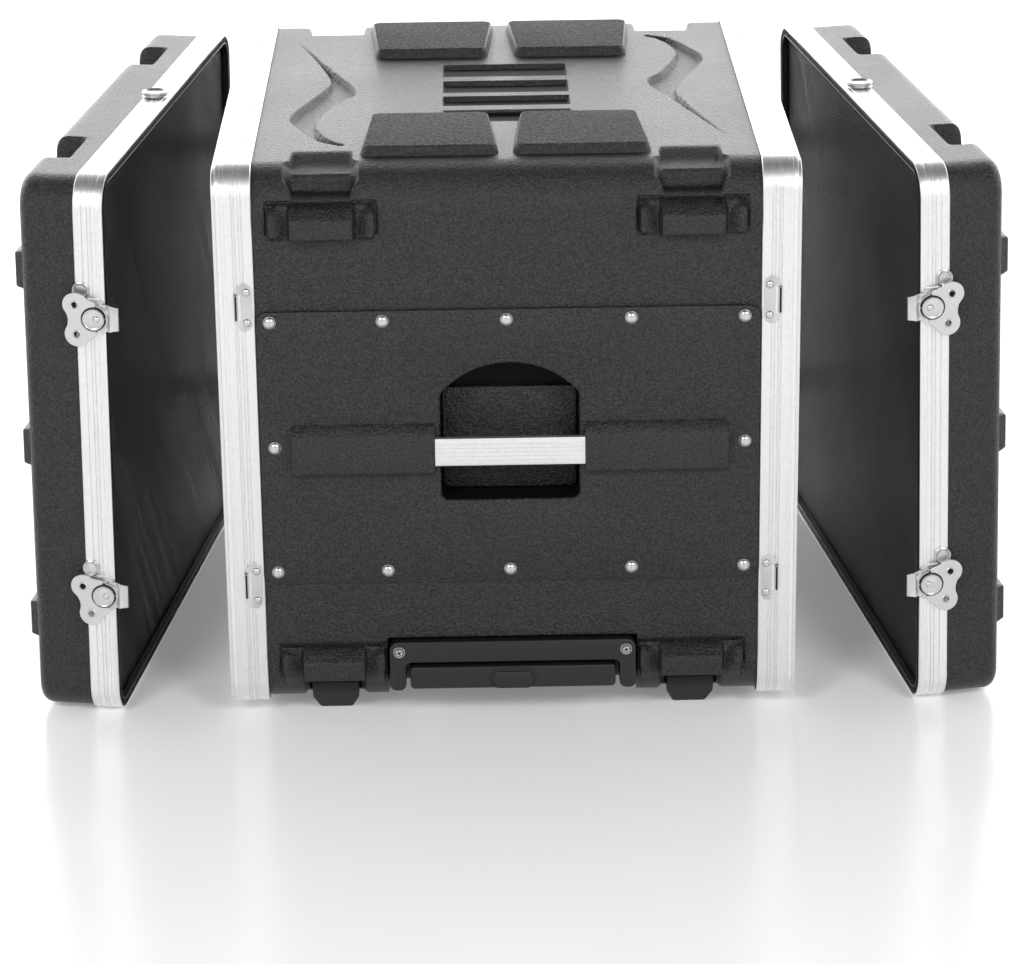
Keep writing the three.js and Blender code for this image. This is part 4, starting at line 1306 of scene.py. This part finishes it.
for side, name in ((-1, "left"), (1, "right")):
    addPiece(f"{name}_foot_rubber", makeFoot(side * 162), "case", [rubber], replaces=[f"{name}_foot"])
    addPiece(f"{name}_wheel_tyre", makeWheel(side * 162), f"{name}_wheel", [rubber],
             replaces=[f"{name}_wheel"], sharp=30)
print("running gear ready")


rail = {"unit": 44.45, "units": 10, "steps": (6.35, 22.225, 38.1), "holeY": -232.55, "hole": 2.9}


def makeRail():
    # Folded steel angle with a row of round holes, drawn for the right near corner.
    mesh = bmesh.new()
    middle = case["low"] + case["height"] / 2
    low = middle - rail["unit"] * rail["units"] / 2
    high = low + rail["unit"] * rail["units"]
    holes = [circle(low + rail["unit"] * unit + step, rail["holeY"], rail["hole"], 12)
             for unit in range(rail["units"]) for step in rail["steps"]]
    cutHoles(mesh, [(low, -245.2), (high, -245.2), (high, -225.2), (low, -225.2)], holes, 207, 209, 0.25)
    # The plate was drawn lying down: x along the rail, z out of its face.
    stand = Matrix(((0, 0, 1, 0), (0, 1, 0, 0), (1, 0, 0, 0), (0, 0, 0, 1)))
    bmesh.ops.transform(mesh, matrix=stand, verts=mesh.verts)
    flange = bmesh.new()
    slab(flange, [(179, -245.3), (208.9, -245.3), (208.9, -243.4), (179, -243.4)], low, high)
    bevelEdges(flange, [edge for edge in flange.edges if edge.calc_face_angle(0) > 0.5], 0.4, 2)
    joinInto(mesh, flange)
    return mesh


for sideX, nameX in ((-1, "left"), (1, "right")):
    for sideY, nameY in ((-1, "near"), (1, "far")):
        flip = Matrix.Scale(sideX, 4, (1, 0, 0)) @ Matrix.Scale(-sideY, 4, (0, 1, 0))
        addPiece(f"{nameX}_{nameY}_rail_angle", makeRail(), "case", [railPaint],
                 replaces=[f"{nameX}_{nameY}_rack_rail"], place=flip, sharp=30)
print("rails ready")


# ---- finishes of the pieces that stay as they are

finishes = {"moulded_plastic": shellPlastic, "smooth_plastic": satinPlastic, "black_rubber": rubber,
            "anodised_aluminium": aluminium, "plated_steel": plated, "painted_steel": railPaint}
for entry in frame["record"]["subparts"]:
    node = frame["nodes"].get(entry["node"])
    if node:
        node.data.materials.clear()
        node.data.materials.append(finishes[entry["material_slot"]])


# ---- floor, light and camera

studio = {"floor": 14.0, "floorColour": (0.9, 0.9, 0.905), "sky": (1.0, 1.0, 1.0), "overhead": (0.07, 0.07, 0.072),
          "shoulder": (0.14, 0.14, 0.143), "floorGlow": 0.185, "front": 0.7, "behind": 3.3, "keyPower": 62}


def makeFloor():
    mesh = bmesh.new()
    bmesh.ops.create_grid(mesh, x_segments=8, y_segments=8, size=studio["floor"])
    data = bpy.data.meshes.new("floor")
    mesh.to_mesh(data)
    mesh.free()
    material, tree, shader = newMaterial("floor_white", studio["floorColour"], 0.28)
    shader.inputs["Emission Color"].default_value = (1, 1, 1, 1)
    shader.inputs["Emission Strength"].default_value = studio["floorGlow"]
    place = tree.nodes.new("ShaderNodeTexCoord").outputs["Object"]
    haze = addNode(tree, "ShaderNodeTexNoise", Scale=3.0, Detail=1.0)
    tree.links.new(place, haze.inputs["Vector"])
    spread = addNode(tree, "ShaderNodeMapRange")
    spread.inputs["To Min"].default_value = 0.21
    spread.inputs["To Max"].default_value = 0.25
    tree.links.new(haze.outputs["Fac"], spread.inputs["Value"])
    tree.links.new(spread.outputs["Result"], shader.inputs["Roughness"])
    data.materials.append(material)
    floor = bpy.data.objects.new("floor", data)
    bpy.context.scene.collection.objects.link(floor)


def makeSky():
    # White all round at eye level, dim overhead.
    world = bpy.data.worlds.new("studio")
    bpy.context.scene.world = world
    world.use_nodes = True
    tree = world.node_tree
    tree.nodes.clear()
    place = tree.nodes.new("ShaderNodeTexCoord")
    split = tree.nodes.new("ShaderNodeSeparateXYZ")
    tree.links.new(place.outputs["Generated"], split.inputs[0])
    ramp = tree.nodes.new("ShaderNodeValToRGB")
    elements = ramp.color_ramp.elements
    elements[0].position = 0.0
    elements[0].color = (*studio["sky"], 1)
    elements[1].position = 1.0
    elements[1].color = (*studio["overhead"], 1)
    elements.new(0.46).color = (*studio["sky"], 1)
    elements.new(0.64).color = (*studio["shoulder"], 1)
    tree.links.new(split.outputs["Z"], ramp.inputs["Fac"])
    back = tree.nodes.new("ShaderNodeBackground")
    tree.links.new(ramp.outputs["Color"], back.inputs["Color"])
    depth = addNode(tree, "ShaderNodeMapRange", interpolation_type="SMOOTHSTEP")
    depth.inputs["From Min"].default_value = -0.1
    depth.inputs["From Max"].default_value = 0.6
    depth.inputs["To Min"].default_value = studio["front"]
    depth.inputs["To Max"].default_value = studio["behind"]
    tree.links.new(split.outputs["Y"], depth.inputs["Value"])
    tree.links.new(depth.outputs["Result"], back.inputs["Strength"])
    end = tree.nodes.new("ShaderNodeOutputWorld")
    tree.links.new(back.outputs["Background"], end.inputs["Surface"])


def addSoftbox(name, at, target, size, power):
    data = bpy.data.lights.new(name, "AREA")
    data.shape = "RECTANGLE"
    data.size, data.size_y = size
    data.energy = power
    light = bpy.data.objects.new(name, data)
    light.location = at
    light.rotation_euler = (Vector(target) - Vector(at)).to_track_quat("-Z", "Y").to_euler()
    bpy.context.scene.collection.objects.link(light)


def makeCamera():
    data = bpy.data.cameras.new("camera")
    data.lens = 127.506
    data.sensor_width = 36
    data.clip_start = 0.1
    data.clip_end = 60
    camera = bpy.data.objects.new("camera", data)
    yaw, pitch, roll = radians(0.614), radians(20.081), radians(-0.721)
    forward = Vector((sin(yaw) * cos(pitch), cos(yaw) * cos(pitch), -sin(pitch)))
    level = Vector((cos(yaw), -sin(yaw), 0))
    rise = level.cross(forward)
    right = level * cos(roll) + rise * sin(roll)
    up = rise * cos(roll) - level * sin(roll)
    pose = Matrix((right, up, -forward)).transposed().to_4x4()
    pose.translation = toFrame @ Vector((-31.3, -3332.4, 1339.0))
    camera.matrix_world = pose
    bpy.context.scene.collection.objects.link(camera)
    bpy.context.scene.camera = camera


makeFloor()
makeSky()
addSoftbox("left_softbox", (-1.9, -3.4, 2.7), (0, 0, 0.25), (1.3, 1.3), studio["keyPower"])
addSoftbox("right_softbox", (1.9, -3.4, 2.7), (0, 0, 0.25), (1.3, 1.3), studio["keyPower"])
makeCamera()
bpy.context.scene.view_settings.view_transform = "Standard"
print("studio ready")
